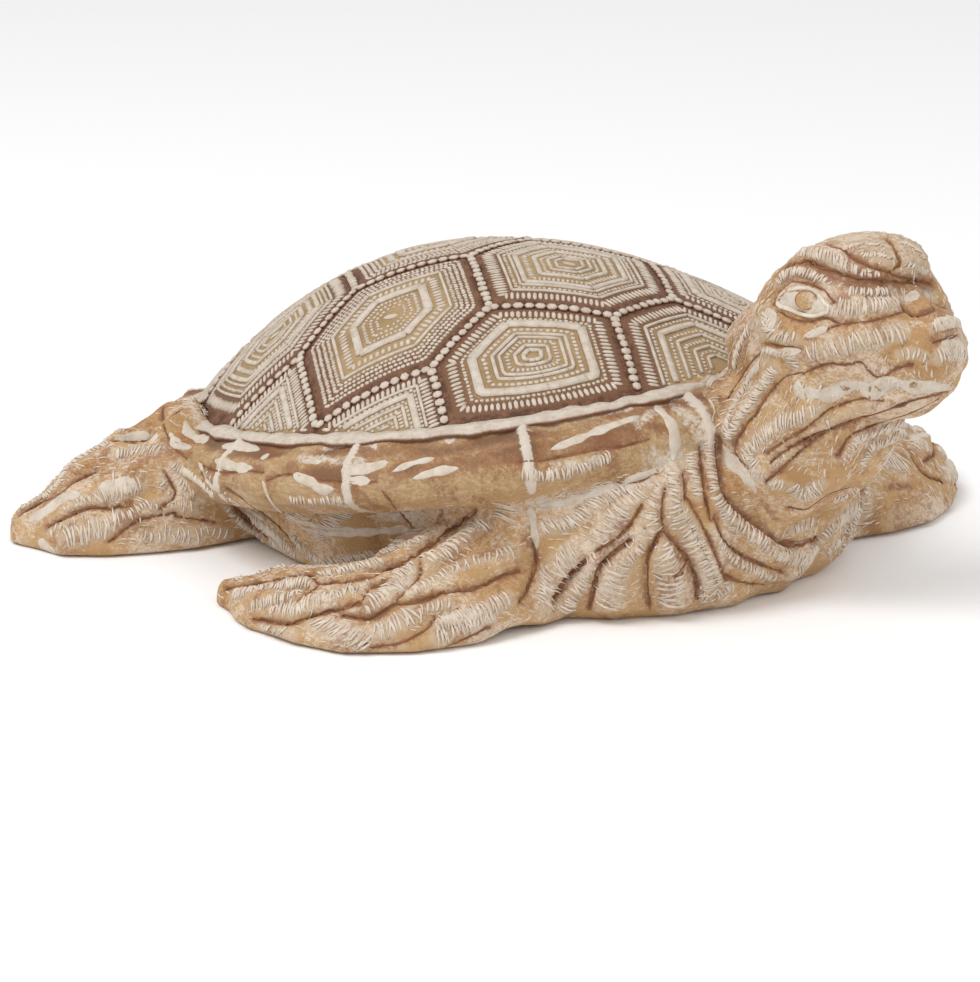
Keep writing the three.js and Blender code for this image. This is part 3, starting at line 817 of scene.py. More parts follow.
plain = 1 - traced
lift = lift * plain + ridgeShape * ridgeSpec[:, 1] * (1 - cutShape) - cutShape * cutSpec[:, 1] * skinSet["deep"]
halo = fade(cutGap, skinSet["haloHalf"] * cutSpec[:, 0]) * skinSet["halo"]
cutStain = np.maximum(fade(cutGap, skinSet["stainHalf"] * cutSpec[:, 0]), halo)
stain = np.maximum(stain * plain * 0.8, cutStain) * (0.75 + 0.35 * waves(P, 71, 9))
lime = lime * plain * 0.7 + fade(ridgeGap, 0.5 * ridgeSpec[:, 2]) * 0.6 * (1 - cutShape)
hatched = np.maximum(hatched * plain, fade(ridgeGap, 0.75 * ridgeSpec[:, 2], 4)) * (1 - cutShape)

onDome = underDome(P, edgeRho)
lift[onDome] = -1.6
stain[onDome] = 0.5
lime[onDome] = 0
hatched[onDome] = 0

# the seams across the rolled edge
isRim = (sheetOf == sheetNames.index("rim")) & ~onDome
seamNear = np.min(np.abs(np.abs(S)[:, None] - shell["seams"][None, :]), axis=1)
seam = fade(seamNear, 0.016) * isRim * smooth(T, 0.5, 1.5) * (1 - smooth(T, 5, 6.5))
lift += 0.7 * seam
lift[P[:, 2] < 0.4] = 0
keep = 1 - smooth(-N[:, 2], 0.3, 0.8) * 0.8  # plainer underneath
carvedPoints = P + N * (lift * keep)[:, None]

# the dome is set below the plates that cover it
covered = underDome(P, 0.965)
flatX = P[:, 0] * pitchCos + (P[:, 2] - shell["edge"]) * pitchSin
inPlan = np.stack([flatX, P[:, 1]], axis=-1)
carvedPoints[covered] = tip(flatX, P[:, 1], domeZ(inPlan) - skinSet["sunk"])[covered]
carvedPoints[:, 2] = np.maximum(carvedPoints[:, 2], 0)
writePoints(skin.data, carvedPoints)

# the rim's brown bands run along it and wander up and down; the bands below the ridge and the brown beside the
# raised seams are partly painted shade, partly streaky brown stain
around = T + 0.45 * waves(P, 131, 17)
rimTone = 0.12 + fade(around - 2.25, 0.36) * (1.15 + 0.7 * waves(P, 103, 14))
rimTone += fade(around - 1.45, 0.3) * (0.8 + 0.7 * waves(P, 133, 11))
rimTone += fade(around - 3.3, 0.25) * (0.35 + 0.7 * waves(P, 135, 12))
rimTone = isRim * (rimTone + fade(seamNear, 0.05) * 0.5 * smooth(T, 1, 2)) * (0.7 + 0.5 * waves(P, 101, 20))
browned = fade(stainGap, stainSpec[:, 0])
painted = isRim * fade(T - 1.35, 0.28) * (0.4 + 0.9 * waves(P, 111, 14))
painted = np.maximum(painted, isRim * 0.7 * smooth(waves(P, 137, 10), 0.1, 0.5) * fade(around - 1.85, 0.4))
painted = np.maximum(painted, 0.62 * fade(washGap, washSpec[:, 0]))
frost = np.zeros(len(P))
for (x, y), reach in frosted:
    spot = castOn(bareTree, x, y)
    if spot is None:
        continue
    for side in (np.ones(3), mirror):
        gap = np.linalg.norm(P - spot * side, axis=1)
        frost = np.maximum(frost, 0.95 * (1 - smooth(gap, reach * 0.6, reach * 1.15)))

attribute(skin.data, "stain", np.maximum(stain, 0.55 * browned * ~isRim) * keep)
attribute(skin.data, "lime", np.clip(lime * keep + seam, 0, 1))
attribute(skin.data, "rim", isRim * (1 - smooth(T, 4.5, 6)))
attribute(skin.data, "rimTone", rimTone + isRim * browned * (0.75 + 0.3 * waves(P, 121, 8)))
attribute(skin.data, "hatched", np.maximum(hatched * keep, frost * (1 - cutShape)))
attribute(skin.data, "seam", np.maximum(seam, painted))
print("folds carved")
skinTree = skinNow()


def meshPiece(name, points, faces, footShadeAndEdgeFade, material):
    mesh = bpy.data.meshes.new(name)
    mesh.from_pydata([tuple(v) for v in (points + shift) * mm], [], faces)
    mesh.validate()
    attribute(mesh, "footShadeAndEdgeFade", footShadeAndEdgeFade)
    mesh.polygons.foreach_set("use_smooth", np.ones(len(mesh.polygons), bool))
    mesh.materials.append(material)
    o = bpy.data.objects.new(name, mesh)
    bpy.context.scene.collection.objects.link(o)
    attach(o, "root")
    print(name, countTriangles(o), "triangles")
    return o


def copied(faces, perCopy, copies):
    return [tuple(j + k * perCopy for j in f) for k in range(copies) for f in faces]


# Raised dots and dashes: one small low dome, copied, with its own length, width and height
beadSides = 6


def beadMesh(places, normals, alongs, length, width, height):
    n = len(places)
    alongs = unit(alongs - normals * (alongs * normals).sum(-1, keepdims=True))
    across = np.cross(normals, alongs)
    ang = np.arange(beadSides) * 2 * math.pi / beadSides
    length, width, tall = (x[:, None, None] for x in (length, width, height))
    verts, footShadeAndEdgeFade = [], []
    # the foot ring is painted dark and the middle ring partly so, painted shade where the bead meets the plate;
    # the top stays light
    for share, rise, footShade in ((1.0, -0.35, 1.0), (0.82, 0.6, 0.35)):
        verts.append(
            places[:, None]
            + alongs[:, None] * (np.cos(ang)[None, :, None] * share * length / 2)
            + across[:, None] * (np.sin(ang)[None, :, None] * share * width / 2)
            + normals[:, None] * (rise * tall)
        )
        footShadeAndEdgeFade.append(np.full((n, beadSides), footShade))
    verts.append((places + normals * height[:, None])[:, None])
    footShadeAndEdgeFade.append(np.zeros((n, 1)))
    verts = np.concatenate(verts, axis=1)
    footShadeAndEdgeFade = np.concatenate(footShadeAndEdgeFade, axis=1)
    b = beadSides
    faces = [tuple(reversed(range(b)))]
    faces += [(i, (i + 1) % b, b + (i + 1) % b, b + i) for i in range(b)]
    faces += [(b + i, b + (i + 1) % b, 2 * b) for i in range(b)]
    return verts.reshape(-1, 3), copied(faces, verts.shape[1], n), footShadeAndEdgeFade.ravel()


# Short raised strokes that follow a bent line of six points
def strokeMesh(lines, normals, width, height):
    n, k = lines.shape[0], lines.shape[1]
    way = unit(np.gradient(lines, axis=1))
    across = unit(np.cross(normals, way))
    full = np.array([0.7, 1.0, 1.0, 0.75])
    verts = [lines[:, 0] - normals[:, 0] * 0.1]
    for j in range(1, k - 1):
        half, rise = (width * full[j - 1] / 2)[:, None], (height * full[j - 1])[:, None]
        verts += [
            lines[:, j] - across[:, j] * half - normals[:, j] * 0.12,
            lines[:, j] + normals[:, j] * rise,
            lines[:, j] + across[:, j] * half - normals[:, j] * 0.12,
        ]
    verts.append(lines[:, -1] - normals[:, -1] * 0.1)
    verts = np.stack(verts, axis=1)
    faces = [(0, 2, 1), (0, 3, 2), (0, 1, 3)]
    for j in range(k - 3):
        for a in range(3):
            p, q = 1 + 3 * j + a, 1 + 3 * j + (a + 1) % 3
            faces.append((p, q, q + 3, p + 3))
    last, end = 1 + 3 * (k - 3), 1 + 3 * (k - 2)
    faces += [(end, last, last + 1), (end, last + 1, last + 2), (end, last + 2, last)]
    # painted shade: the stroke's two feet and its ends are dark, its crest light
    footShadeAndEdgeFade = np.tile([0.7] + [1.0, -0.25, 1.0] * (k - 2) + [0.7], n)
    return verts.reshape(-1, 3), copied(faces, end + 1, n), footShadeAndEdgeFade


def tubeFaces(n, k, closed):
    # the sides, and the ends of an open one, of n sections with k points each
    faces = []
    for i in range(n if closed else n - 1):
        j = (i + 1) % n
        for a in range(k):
            b = (a + 1) % k
            faces.append((i * k + a, i * k + b, j * k + b, j * k + a))
    if not closed:
        faces += [tuple(range(k - 1, -1, -1)), tuple((n - 1) * k + a for a in range(k))]
    return faces


# A flat raised band along a line of places; closed goes round to its start
def bandMesh(line, normals, width, height, closed):
    n = len(line)
    way = np.roll(line, -1, 0) - np.roll(line, 1, 0)
    if not closed:
        way[0], way[-1] = line[1] - line[0], line[-1] - line[-2]
    across = unit(np.cross(normals, unit(way)))
    half = (np.zeros(n) + width)[:, None] / 2
    rise = (np.zeros(n) + height)[:, None]
    verts = np.stack(
        [
            line - across * half - normals * 0.3,
            line - across * half * 0.8 + normals * rise,
            line + across * half * 0.8 + normals * rise,
            line + across * half - normals * 0.3,
        ],
        axis=1,
    ).reshape(-1, 3)
    # painted shade along both feet of the band, its top light
    return verts, tubeFaces(n, 4, closed), np.tile([1, 0, 0, 1.0], n)


def gather(parts):
    verts, faces, footShadeAndEdgeFade, base = [], [], [], 0
    for v, f, g in parts:
        verts.append(v)
        faces += [tuple(j + base for j in face) for face in f]
        footShadeAndEdgeFade.append(g)
        base += len(v)
    return np.vstack(verts), faces, np.concatenate(footShadeAndEdgeFade)


def srgb(r, g, b):
    return tuple(((c / 255 + 0.055) / 1.055) ** 2.4 if c > 10 else c / 255 / 12.92 for c in (r, g, b)) + (1,)


# bare and stained wood
ochre, paleOchre = srgb(172, 133, 88), srgb(186, 151, 107)
tan, pale = srgb(156, 126, 100), srgb(188, 165, 138)
rustAndShade, brown, dark, umber = srgb(132, 86, 60), srgb(116, 84, 62), srgb(84, 56, 42), srgb(112, 78, 54)
rimLight, rimOchre = srgb(188, 160, 124), srgb(160, 130, 90)
rimBrown, rimDark = srgb(136, 94, 62), srgb(100, 66, 46)
plateOchre, plateLight, borderBrown = srgb(152, 126, 90), srgb(174, 147, 108), srgb(128, 91, 68)
cutBrown = srgb(146, 102, 72)
# limewash and white paint
cream, creamShade, seamWhite = srgb(222, 209, 194), srgb(192, 174, 152), srgb(208, 197, 184)
shellWhite, shellShade = srgb(206, 195, 181), srgb(182, 167, 150)
padWhite, padShade, padEdge = srgb(210, 199, 185), srgb(188, 172, 152), srgb(178, 146, 106)


class Nodes:
    def __init__(self, name):
        self.material = bpy.data.materials.new(name)
        self.material.use_nodes = True
        self.tree = self.material.node_tree
        self.shader = self.tree.nodes["Principled BSDF"]
        self.coord = self.tree.nodes.new("ShaderNodeTexCoord").outputs["Object"]

    def link(self, a, b):
        self.tree.links.new(a, b)

    def fill(self, sock, x):
        if isinstance(x, (int, float, tuple)):
            sock.default_value = x
        else:
            self.link(x, sock)

    def value(self, name):
        n = self.tree.nodes.new("ShaderNodeAttribute")
        n.attribute_name = name
        return n.outputs["Fac"]

    def noise(self, scale, detail=4, rough=0.6, stretch=(1, 1, 1), distortion=0.0):
        m = self.tree.nodes.new("ShaderNodeMapping")
        m.inputs["Scale"].default_value = stretch
        self.link(self.coord, m.inputs["Vector"])
        n = self.tree.nodes.new("ShaderNodeTexNoise")
        n.inputs["Scale"].default_value = scale
        n.inputs["Detail"].default_value = detail
        n.inputs["Roughness"].default_value = rough
        n.inputs["Distortion"].default_value = distortion
        self.link(m.outputs[0], n.inputs["Vector"])
        return n.outputs["Fac"]

    def math(self, op, a, b):
        n = self.tree.nodes.new("ShaderNodeMath")
        n.operation = op
        self.fill(n.inputs[0], a)
        self.fill(n.inputs[1], b)
        return n.outputs[0]

    def uneven(self, value, noise, amount):
        # a value whose edges a noise makes ragged
        return self.math("ADD", value, self.math("MULTIPLY", self.math("SUBTRACT", noise, 0.5), amount))

    def ramp(self, fac, low, high, start=0.0, end=1.0):
        n = self.tree.nodes.new("ShaderNodeMapRange")
        n.interpolation_type = "SMOOTHSTEP"
        for i, x in enumerate((fac, low, high, start, end)):
            self.fill(n.inputs[i], x)
        return n.outputs[0]

    def mix(self, fac, a, b):
        n = self.tree.nodes.new("ShaderNodeMix")
        n.data_type = "RGBA"
        for i, x in ((0, fac), (6, a), (7, b)):
            self.fill(n.inputs[i], x)
        return n.outputs[2]

    def finish(self, base, roughness, specular, height, strength, distance):
        n = self.tree.nodes.new("ShaderNodeBump")
        n.inputs["Strength"].default_value = strength
        n.inputs["Distance"].default_value = distance
        self.link(height, n.inputs["Height"])
        self.link(n.outputs[0], self.shader.inputs["Normal"])
        self.link(base, self.shader.inputs["Base Color"])
        self.shader.inputs["Roughness"].default_value = roughness
        self.shader.inputs["Specular IOR Level"].default_value = specular
        return self.material


def carvedWood():
    m = Nodes("carvedWood")
    fine = m.noise(1150, 5, 0.75)
    streak = m.noise(230, 6, 0.75, (1, 4, 4))
    base = m.mix(m.ramp(m.noise(45, 5, 0.6), 0.38, 0.66), paleOchre, ochre)
    base = m.mix(m.math("MULTIPLY", m.ramp(streak, 0.5, 0.75), 0.3), base, tan)
    base = m.mix(m.ramp(m.uneven(m.value("hatched"), fine, 1.2), 0.3, 1.0, 0, 0.85), base, pale)
    specks = m.uneven(m.noise(620, 8, 0.9, (1, 1, 1.6), 0.8), m.noise(70, 4, 0.6), 0.5)
    base = m.mix(m.ramp(specks, 0.515, 0.56, 0, 0.62), base, cream)
    # the rolled edge: ochre streaks under two tones of brown, partly painted shade below the ridge and beside the
    # seams, partly stain
    rimShadeAndStain = m.uneven(m.value("rimTone"), m.noise(760, 6, 0.85), 2.4)
    rimBase = m.mix(m.ramp(streak, 0.36, 0.6), rimLight, rimOchre)
    rimBase = m.mix(m.ramp(rimShadeAndStain, 0.3, 0.75, 0, 0.9), rimBase, rimBrown)
    rimBase = m.mix(m.ramp(rimShadeAndStain, 0.75, 1.35, 0, 0.85), rimBase, rimDark)
    base = m.mix(m.math("MULTIPLY", m.value("rim"), 0.85), base, rimBase)
    # rubbed-in rust, the cuts' stain, limewash on the folds, white on the seams
    rub = m.uneven(m.noise(60, 5, 0.7, (2, 1, 1), 0.5), m.noise(700, 7, 0.9), 1.0)
    base = m.mix(m.ramp(rub, 0.54, 0.63, 0, 0.6), base, rustAndShade)
    stain = m.uneven(m.value("stain"), m.noise(420, 8, 0.9), 2.2)
    base = m.mix(m.ramp(stain, 0.15, 0.7, 0, 0.85), base, rustAndShade)
    base = m.mix(m.ramp(stain, 0.6, 1.1, 0, 0.8), base, umber)
    lime = m.uneven(m.value("lime"), m.noise(620, 6, 0.8), 2.2)
    base = m.mix(m.ramp(lime, 0.8, 1.2, 0, 0.75), base, cream)
    white = m.uneven(m.value("seam"), m.noise(600, 6, 0.8), 1.2)
    base = m.mix(m.ramp(white, 0.45, 0.7, 0, 0.9), base, seamWhite)
    grain = m.math("ADD", m.math("MULTIPLY", fine, 0.6), m.math("MULTIPLY", streak, 0.6))
    return m.finish(base, 0.72, 0.3, grain, 0.6, 0.0004)


def limewash(name, light, shade):
    m = Nodes(name)
    fine = m.noise(1000, 5, 0.75)
    base = m.mix(m.ramp(m.noise(300, 5, 0.7), 0.35, 0.75), light, shade)
    base = m.mix(m.ramp(m.noise(620, 6, 0.8, (1, 1, 1), 0.8), 0.52, 0.7, 0, 0.55), base, tan)
    # painted shade: the feet of the raised marks turn rust-brown
    base = m.mix(m.ramp(m.uneven(m.value("footShadeAndEdgeFade"), fine, 0.7), 0.3, 0.8, 0, 0.95), base, rustAndShade)
    return m.finish(base, 0.8, 0.25, fine, 0.35, 0.0003)


def plateWood():
    m = Nodes("plateWood")
    fine = m.noise(1100, 5, 0.75)
    base = m.mix(m.ramp(m.noise(60, 4, 0.6), 0.3, 0.7), plateOchre, plateLight)
    # browner towards the outline: partly the ground's own brown, partly painted shade among the bead rows
    tone = m.math("ADD", m.value("tone"), m.math("SUBTRACT", fine, 0.5))
    base = m.mix(m.ramp(tone, 0.15, 0.95), base, brown)
    border = m.mix(m.ramp(m.noise(260, 8, 0.85), 0.42, 0.6), dark, borderBrown)
    inset = m.uneven(m.value("inset"), m.noise(700, 5, 0.75), 1.2)
    base = m.mix(m.ramp(inset, 1.9, 2.9, 1, 0), base, border)
    return m.finish(base, 0.75, 0.25, fine, 0.4, 0.0004)


def stainedCut():
    m = Nodes("stainedCut")
    base = m.mix(m.ramp(m.noise(240, 5, 0.7), 0.35, 0.65), umber, cutBrown)
    return m.finish(base, 0.8, 0.2, m.noise(400, 4, 0.7), 0.4, 0.0003)


def brushed():
    m = Nodes("brushed")
    base = m.mix(m.ramp(m.noise(300, 5, 0.7), 0.35, 0.75), padWhite, padShade)
    ragged = m.uneven(m.value("footShadeAndEdgeFade"), m.noise(560, 7, 0.85), 2.4)
    base = m.mix(m.ramp(ragged, 0.72, 0.95, 0, 1), base, padEdge)
    return m.finish(base, 0.8, 0.25, m.noise(700, 6, 0.8), 0.6, 0.0004)


woodMaterial = carvedWood()
brushedMaterial = brushed()
stainMaterial = stainedCut()
limeMaterial = limewash("limewash", cream, creamShade)
shellLime = limewash("shellLimewash", shellWhite, shellShade)
plateMaterial = plateWood()
skin.data.materials.append(woodMaterial)
skin.data.polygons.foreach_set("use_smooth", np.ones(len(skin.data.polygons), bool))

# The plates of the shell: a honeycomb in plan
halfPlate, halfSide = shell["plate"] / 2, shell["side"] / 2
rowStep = halfSide + shell["reach"]
corners = np.array([[halfPlate, -halfSide], [halfPlate, halfSide], [0, shell["reach"]]])
corners = np.vstack([corners, -corners])
apothem = 24.0


def insideHex(outline, p, slack):
    sides = zip(outline, np.roll(outline, -1, axis=0))
    return np.all([(b - a)[0] * (p - a)[:, 1] - (b - a)[1] * (p - a)[:, 0] > slack for a, b in sides], axis=0)


def rimShare(hub, p):
    # how far along the ray from the hub through p the dome's edge lies
    low, high = np.zeros(len(p)), np.full(len(p), 40.0)
    for _ in range(36):
        mid = (low + high) / 2
        inside = rho(hub + (p - hub) * mid[:, None]) < edgeRho
        low, high = np.where(inside, mid, low), np.where(inside, high, mid)
    return low


plates = []
for r in range(-3, 4):
    for c in range(-4, 5):
        centre = np.array([shell["start"] + (c + (0.5 if r % 2 else 0)) * shell["plate"], r * rowStep])
        outline = corners + centre
        along = np.linspace(0, 1, 24, endpoint=False)[:, None]
        sides = zip(outline, np.roll(outline, -1, axis=0))
        inside = rho(np.vstack([a + (b - a) * along for a, b in sides])) < edgeRho
        if inside.sum() < 6:
            continue
        gx, gy = grid(-25, 25, 40, -34, 34, 50)
        inner = np.stack([gx, gy], -1) + centre
        inHex = insideHex(outline, inner, 0)
        inDome = inHex & (rho(inner) < edgeRho)
        share = inDome.sum() / inHex.sum()
        middle = inner[inDome].mean(0) if inDome.any() else centre
        cut = not inside.all()
        fans = cut and share < 0.55
        hub = middle
        if fans:
            # a sliver of a plate fans from the dome's edge
            outwards = 0.75 if r == 0 and c > 0 else 0.94
            hub = rimPlan(shellAngle(middle[None]))[0] * outwards + middle * (1 - outwards)
        plates.append({"row": r, "col": c, "outline": outline, "hub": hub, "fans": fans, "cut": cut})
print(len(plates), "shell plates")


def plateShare(plate, p):
    # 1 on the plate's outline, 0 at its hub
    hub, o = plate["hub"], plate["outline"]
    best = np.zeros(len(p))
    for i in range(6):
        a, b = o[i], o[(i + 1) % 6]
        n = np.array([b[1] - a[1], a[0] - b[0]])
        reach = n @ (a - hub)
        if reach <= 1:
            continue
        best = np.maximum(best, (p - hub) @ n / reach)
    if plate["cut"] and not plate["fans"]:
        best = np.maximum(best, 1 / np.maximum(rimShare(hub, p), 1e-6))
    return best


def ring(plate, share, step=1.5):
    # the plate's outline drawn smaller; one list of places for each run
    o, hub = plate["outline"], plate["hub"]
    runs = []
    for i in range(6):
        a, b = hub + (o[i] - hub) * share, hub + (o[(i + 1) % 6] - hub) * share
        n = max(3, int(np.linalg.norm(b - a) / step) + 1)
        p = a + (b - a) * np.linspace(0, 1, n)[:, None]
        if plate["cut"] and not plate["fans"]:
            full = hub + (p - hub) / share
            p = hub + (full - hub) * np.minimum(1, rimShare(hub, full))[:, None] * share
        else:
            p = p[rho(p) < edgeRho]
        if len(p) > 1:
            runs.append((i, p))
    return runs


shellTop = 0.8  # the plates' height over the solid's dome


def onShell(p):
    # place and normal on the plates' top, from a place in plan
    z = domeZ(p) + shellTop
    e = 0.05
    dx = (domeZ(p + [e, 0]) - domeZ(p - [e, 0])) / (2 * e)
    dy = (domeZ(p + [0, e]) - domeZ(p - [0, e])) / (2 * e)
    n = np.stack([-dx * pitchCos - pitchSin, -dy, -dx * pitchSin + pitchCos], -1)
    return tip(p[:, 0], p[:, 1], z), unit(n)


# The dome under the pattern: a closed cap with a groove round each plate
domeSet = {"rings": 112, "around": 420, "raised": 0.3, "groove": 0.6, "tuckedIn": -1.5, "floor": -3.0}
ringShare = np.linspace(0, 1, domeSet["rings"] + 1)[1:]
edgePlan = rimPlan(np.linspace(0, 2 * math.pi, domeSet["around"], endpoint=False))
plan = np.vstack([[0.0, 0.0], (edgePlan[None] * ringShare[:, None, None]).reshape(-1, 2)])
inset = np.full(len(plan), 20.0)
for plate in plates:
    inHex = insideHex(plate["outline"], plan, -1e-9)
    if inHex.any():
        inset[inHex] = (1 - plateShare(plate, plan[inHex])) * apothem
# browner towards each plate's outline: partly the ground's own brown, partly painted shade among the outer rows
# of beads
tone = 0.25 + 0.75 * (1 - smooth(inset, 4, 11))
top = domeZ(plan) + shellTop + domeSet["raised"] - domeSet["groove"] * (1 - smooth(inset, 0.6, 2.4))
top = np.where(rho(plan) > 0.99, domeSet["tuckedIn"], top)
plan, top = np.vstack([plan, [0.0, 0.0]]), np.append(top, domeSet["floor"])
turns = domeSet["around"]
faces = [(0, 1 + i, 1 + (i + 1) % turns) for i in range(turns)]
for k in range(domeSet["rings"] - 1):
    inner, outer = 1 + k * turns, 1 + (k + 1) * turns
    for i in range(turns):
        j = (i + 1) % turns
        faces.append((inner + i, outer + i, outer + j, inner + j))
faces += [(outer + (i + 1) % turns, outer + i, len(plan) - 1) for i in range(turns)]
domePoints = tip(plan[:, 0], plan[:, 1], top)
plateTop = meshPiece("shellPlates", domePoints, faces, np.zeros(len(domePoints)), plateMaterial)
attribute(plateTop.data, "inset", np.append(inset, 5))
attribute(plateTop.data, "tone", np.append(tone, 0.5))

# What each kind of plate carries, from its outline inwards: how far in, in millimetres, and its width;
# then for dots and dashes their pitch, and for a line its height
patterns = {
    "dotted": [
        ("dots", 3.6, 1.5, 1.35),
        ("dots", 5.0, 1.5, 1.35),
        ("dots", 6.4, 1.5, 1.35),
        ("dots", 7.7, 1.4, 1.35),
        ("line", 9.1, 0.9, 0.5),
        ("dashes", 11.4, 3.2, 1.75),
        ("line", 14.5, 2.7, 0.7),
        ("dashes", 16.9, 1.6, 1.2),
        ("dots", 18.7, 1.3, 1.5),
        ("dots", 20.3, 1.2, 1.5),
        ("blob", 0, 4.6, 2.4),
    ],
    "framed": [
        ("dashes", 4.7, 3.6, 1.6),
        ("dots", 7.3, 1.35, 1.4),
        ("line", 9.7, 2.9, 0.7),
        ("dots", 12.5, 1.7, 1.7),
        ("line", 14.5, 1.1, 0.5),
        ("line", 16.1, 1.0, 0.5),
        ("dashes", 17.9, 1.9, 1.3),
        ("line", 19.8, 1.1, 0.5),
        ("line", 21.8, 1.3, 0.55),
    ],
    "striped": [
        ("dashes", 4.3, 4.2, 1.5),
        ("line", 6.9, 0.9, 0.5),
        ("dots", 8.2, 1.3, 1.4),
        ("line", 9.5, 0.8, 0.5),
        ("line", 10.9, 1.6, 0.6),
        ("dashes", 13.1, 2.4, 1.3),
        ("line", 15.5, 1.5, 0.55),
        ("dots", 17.2, 1.3, 1.4),
        ("line", 18.8, 1.0, 0.5),
        ("line", 20.6, 0.9, 0.5),
        ("blob", 0, 4.0, 2.0),
    ],
    "corner": [
        ("dashes", 4.4, 3.9, 1.5),
        ("line", 7.0, 0.9, 0.55),
        ("dots", 8.4, 1.4, 1.5),
        ("line", 10.4, 2.1, 0.65),
        ("dots", 12.6, 1.4, 1.5),
        ("line", 14.2, 1.0, 0.5),
        ("dashes", 16.1, 2.0, 1.4),
        ("line", 18.0, 1.0, 0.5),
        ("dots", 19.5, 1.3, 1.5),
        ("line", 21.0, 0.9, 0.5),
    ],
}

# by row and column; the rest take turns
shownPlates = {
    (-1, -1): "dotted",
    (-1, 0): "framed",
    (0, 0): "striped",
    (-1, -2): "striped",
    (0, -1): "dotted",
    (0, -2): "framed",
}


def patternOf(plate):
    row, col = plate["row"], plate["col"]
    if plate["fans"]:
        return "corner"
    if (row, col) in shownPlates:
        return shownPlates[row, col]
    if row == 0:
        return ("dotted", "striped", "framed")[(col + 1) % 3]
    return ("framed", "dotted", "striped")[col % 3]


bandParts = []
beads = []


def addBeads(p, along, length, width, height):
    n = len(p)
    r = np.random.default_rng(len(beads) + 1)
    sizes = (length * r.uniform(0.86, 1.1, n), width * r.uniform(0.86, 1.1, n), height * r.uniform(0.85, 1.15, n))
    beads.append((p, along, *sizes))


def spaced(p, pitch):
    # places at an even pitch along a line in plan, measured on the shell
    d = arcLength(onShell(p)[0])
    n = max(1, int(round(d[-1] / pitch)))
    at = (np.arange(n) + 0.5) / n * d[-1]
    return placesAt(at, d, p), wayAt(at, d, p, 0.3)


borderSet = {"pitch": 2.95, "length": 3.25, "width": 3.0, "height": 0.8, "stray": 0.08}
done = set()
for plate in plates:
    for i, p in ring(plate, 1.0, 1.2):
        # one row of beads for each border, though two plates share it
        key = tuple(np.round((plate["outline"][i] + plate["outline"][(i + 1) % 6]) / 2, 1))
        inside = rho(p) < edgeRho - 0.004
        if key in done or inside.sum() < 3:
            continue
        done.add(key)
        x, way = spaced(p[inside], borderSet["pitch"])
        x = x + np.random.default_rng(len(done)).normal(0, borderSet["stray"], x.shape)
        addBeads(x, way, borderSet["length"], borderSet["width"], borderSet["height"])
    for kind, inwards, size, last in patterns[patternOf(plate)]:
        if kind == "blob":
            addBeads(plate["hub"][None], np.array([[1.0, 0.4]]), size * 1.3, last * 1.2, 0.7)
            continue
        for i, p in ring(plate, 1 - inwards / apothem, 1.2):
            if kind == "line":
                q, n = onShell(p)
                if len(q) > 2:
                    bandParts.append(bandMesh(q + n * 0.25, n, size * (1 + 0.1 * waves(p, 21, 9)), last, False))
                continue
            x, way = spaced(p, last)
            if kind == "dots":
                x = x + np.random.default_rng(int(inwards * 10)).normal(0, 0.06, x.shape)
                addBeads(x, way, size, size * 0.97, 0.5)
            else:
                addBeads(x, np.stack([-way[:, 1], way[:, 0]], -1), size, last * 0.86, 0.55)

place, along, *sizes = (np.concatenate(part) for part in zip(*beads))
inside = rho(place) < edgeRho
place, along, sizes = place[inside], along[inside], [size[inside] for size in sizes]
q, n = onShell(place)
v, f, g = beadMesh(q + n * 0.15, n, onShell(place + along * 0.2)[0] - q, *sizes)
meshPiece("shellDots", v, f, g, shellLime)
meshPiece("shellFrames", *gather(bandParts), shellLime)

# The ridge where the dome meets its rolled edge, uneven in place, width and height
a = np.linspace(0, 2 * math.pi, 380, endpoint=False)
edge, none = rimPlan(a), np.zeros_like(a)
lean = rimAway(a) * 0.3
nrm = unit(tip(lean[:, 0], lean[:, 1], none + 1) - tip(none, none, none))
outwards = np.stack([edge[:, 0] / shell["halfLength"], edge[:, 1] / shell["halfWidth"], none], -1)
line = rimSurface(a, none + 0.9) + nrm * -0.4 + 0.5 * waves(edge, 33, 9)[:, None] * outwards
width = 4.6 + 1.6 * waves(edge, 31, 18) + 0.7 * waves(edge, 32, 6)
meshPiece("rimRidge", *bandMesh(line, nrm, width, 1.1 + 0.3 * waves(edge, 34, 7), True), shellLime)

eyeSet = {
    "rim": "776,301 783,293 794,289 808,289 818,294 825,303 831,310 822,314 812,316 801,314 790,309 780,306",
    "white": "779,302 792,301 806,302 819,306 830,310",
    "whiteWidth": 6.4,
    "iris": "803,300 806,300 809,300",
    "irisWidth": 5.0,
    "irisHeight": 0.5,
    "turns": 28,
    "bands": 8,
    "rimWidth": 1.2,
    "rimHeight": 0.5,
}


def eyeRim(flip):
    rim = np.vstack(castLine(eyeSet["rim"] + " " + eyeSet["rim"].split()[0]))
    if flip:
        rim = nearestOn(bareTree, (rim * mirror)[::-1])[0]
    rim, nrm, _ = nearestOn(skinTree, rim[::3])
    for _ in range(2):
        nrm = unit(nrm + np.roll(nrm, 1, 0) + np.roll(nrm, -1, 0))
    return bandMesh(rim, nrm, eyeSet["rimWidth"] * (1 + 0.2 * waves(rim, 61, 9)), eyeSet["rimHeight"], True)


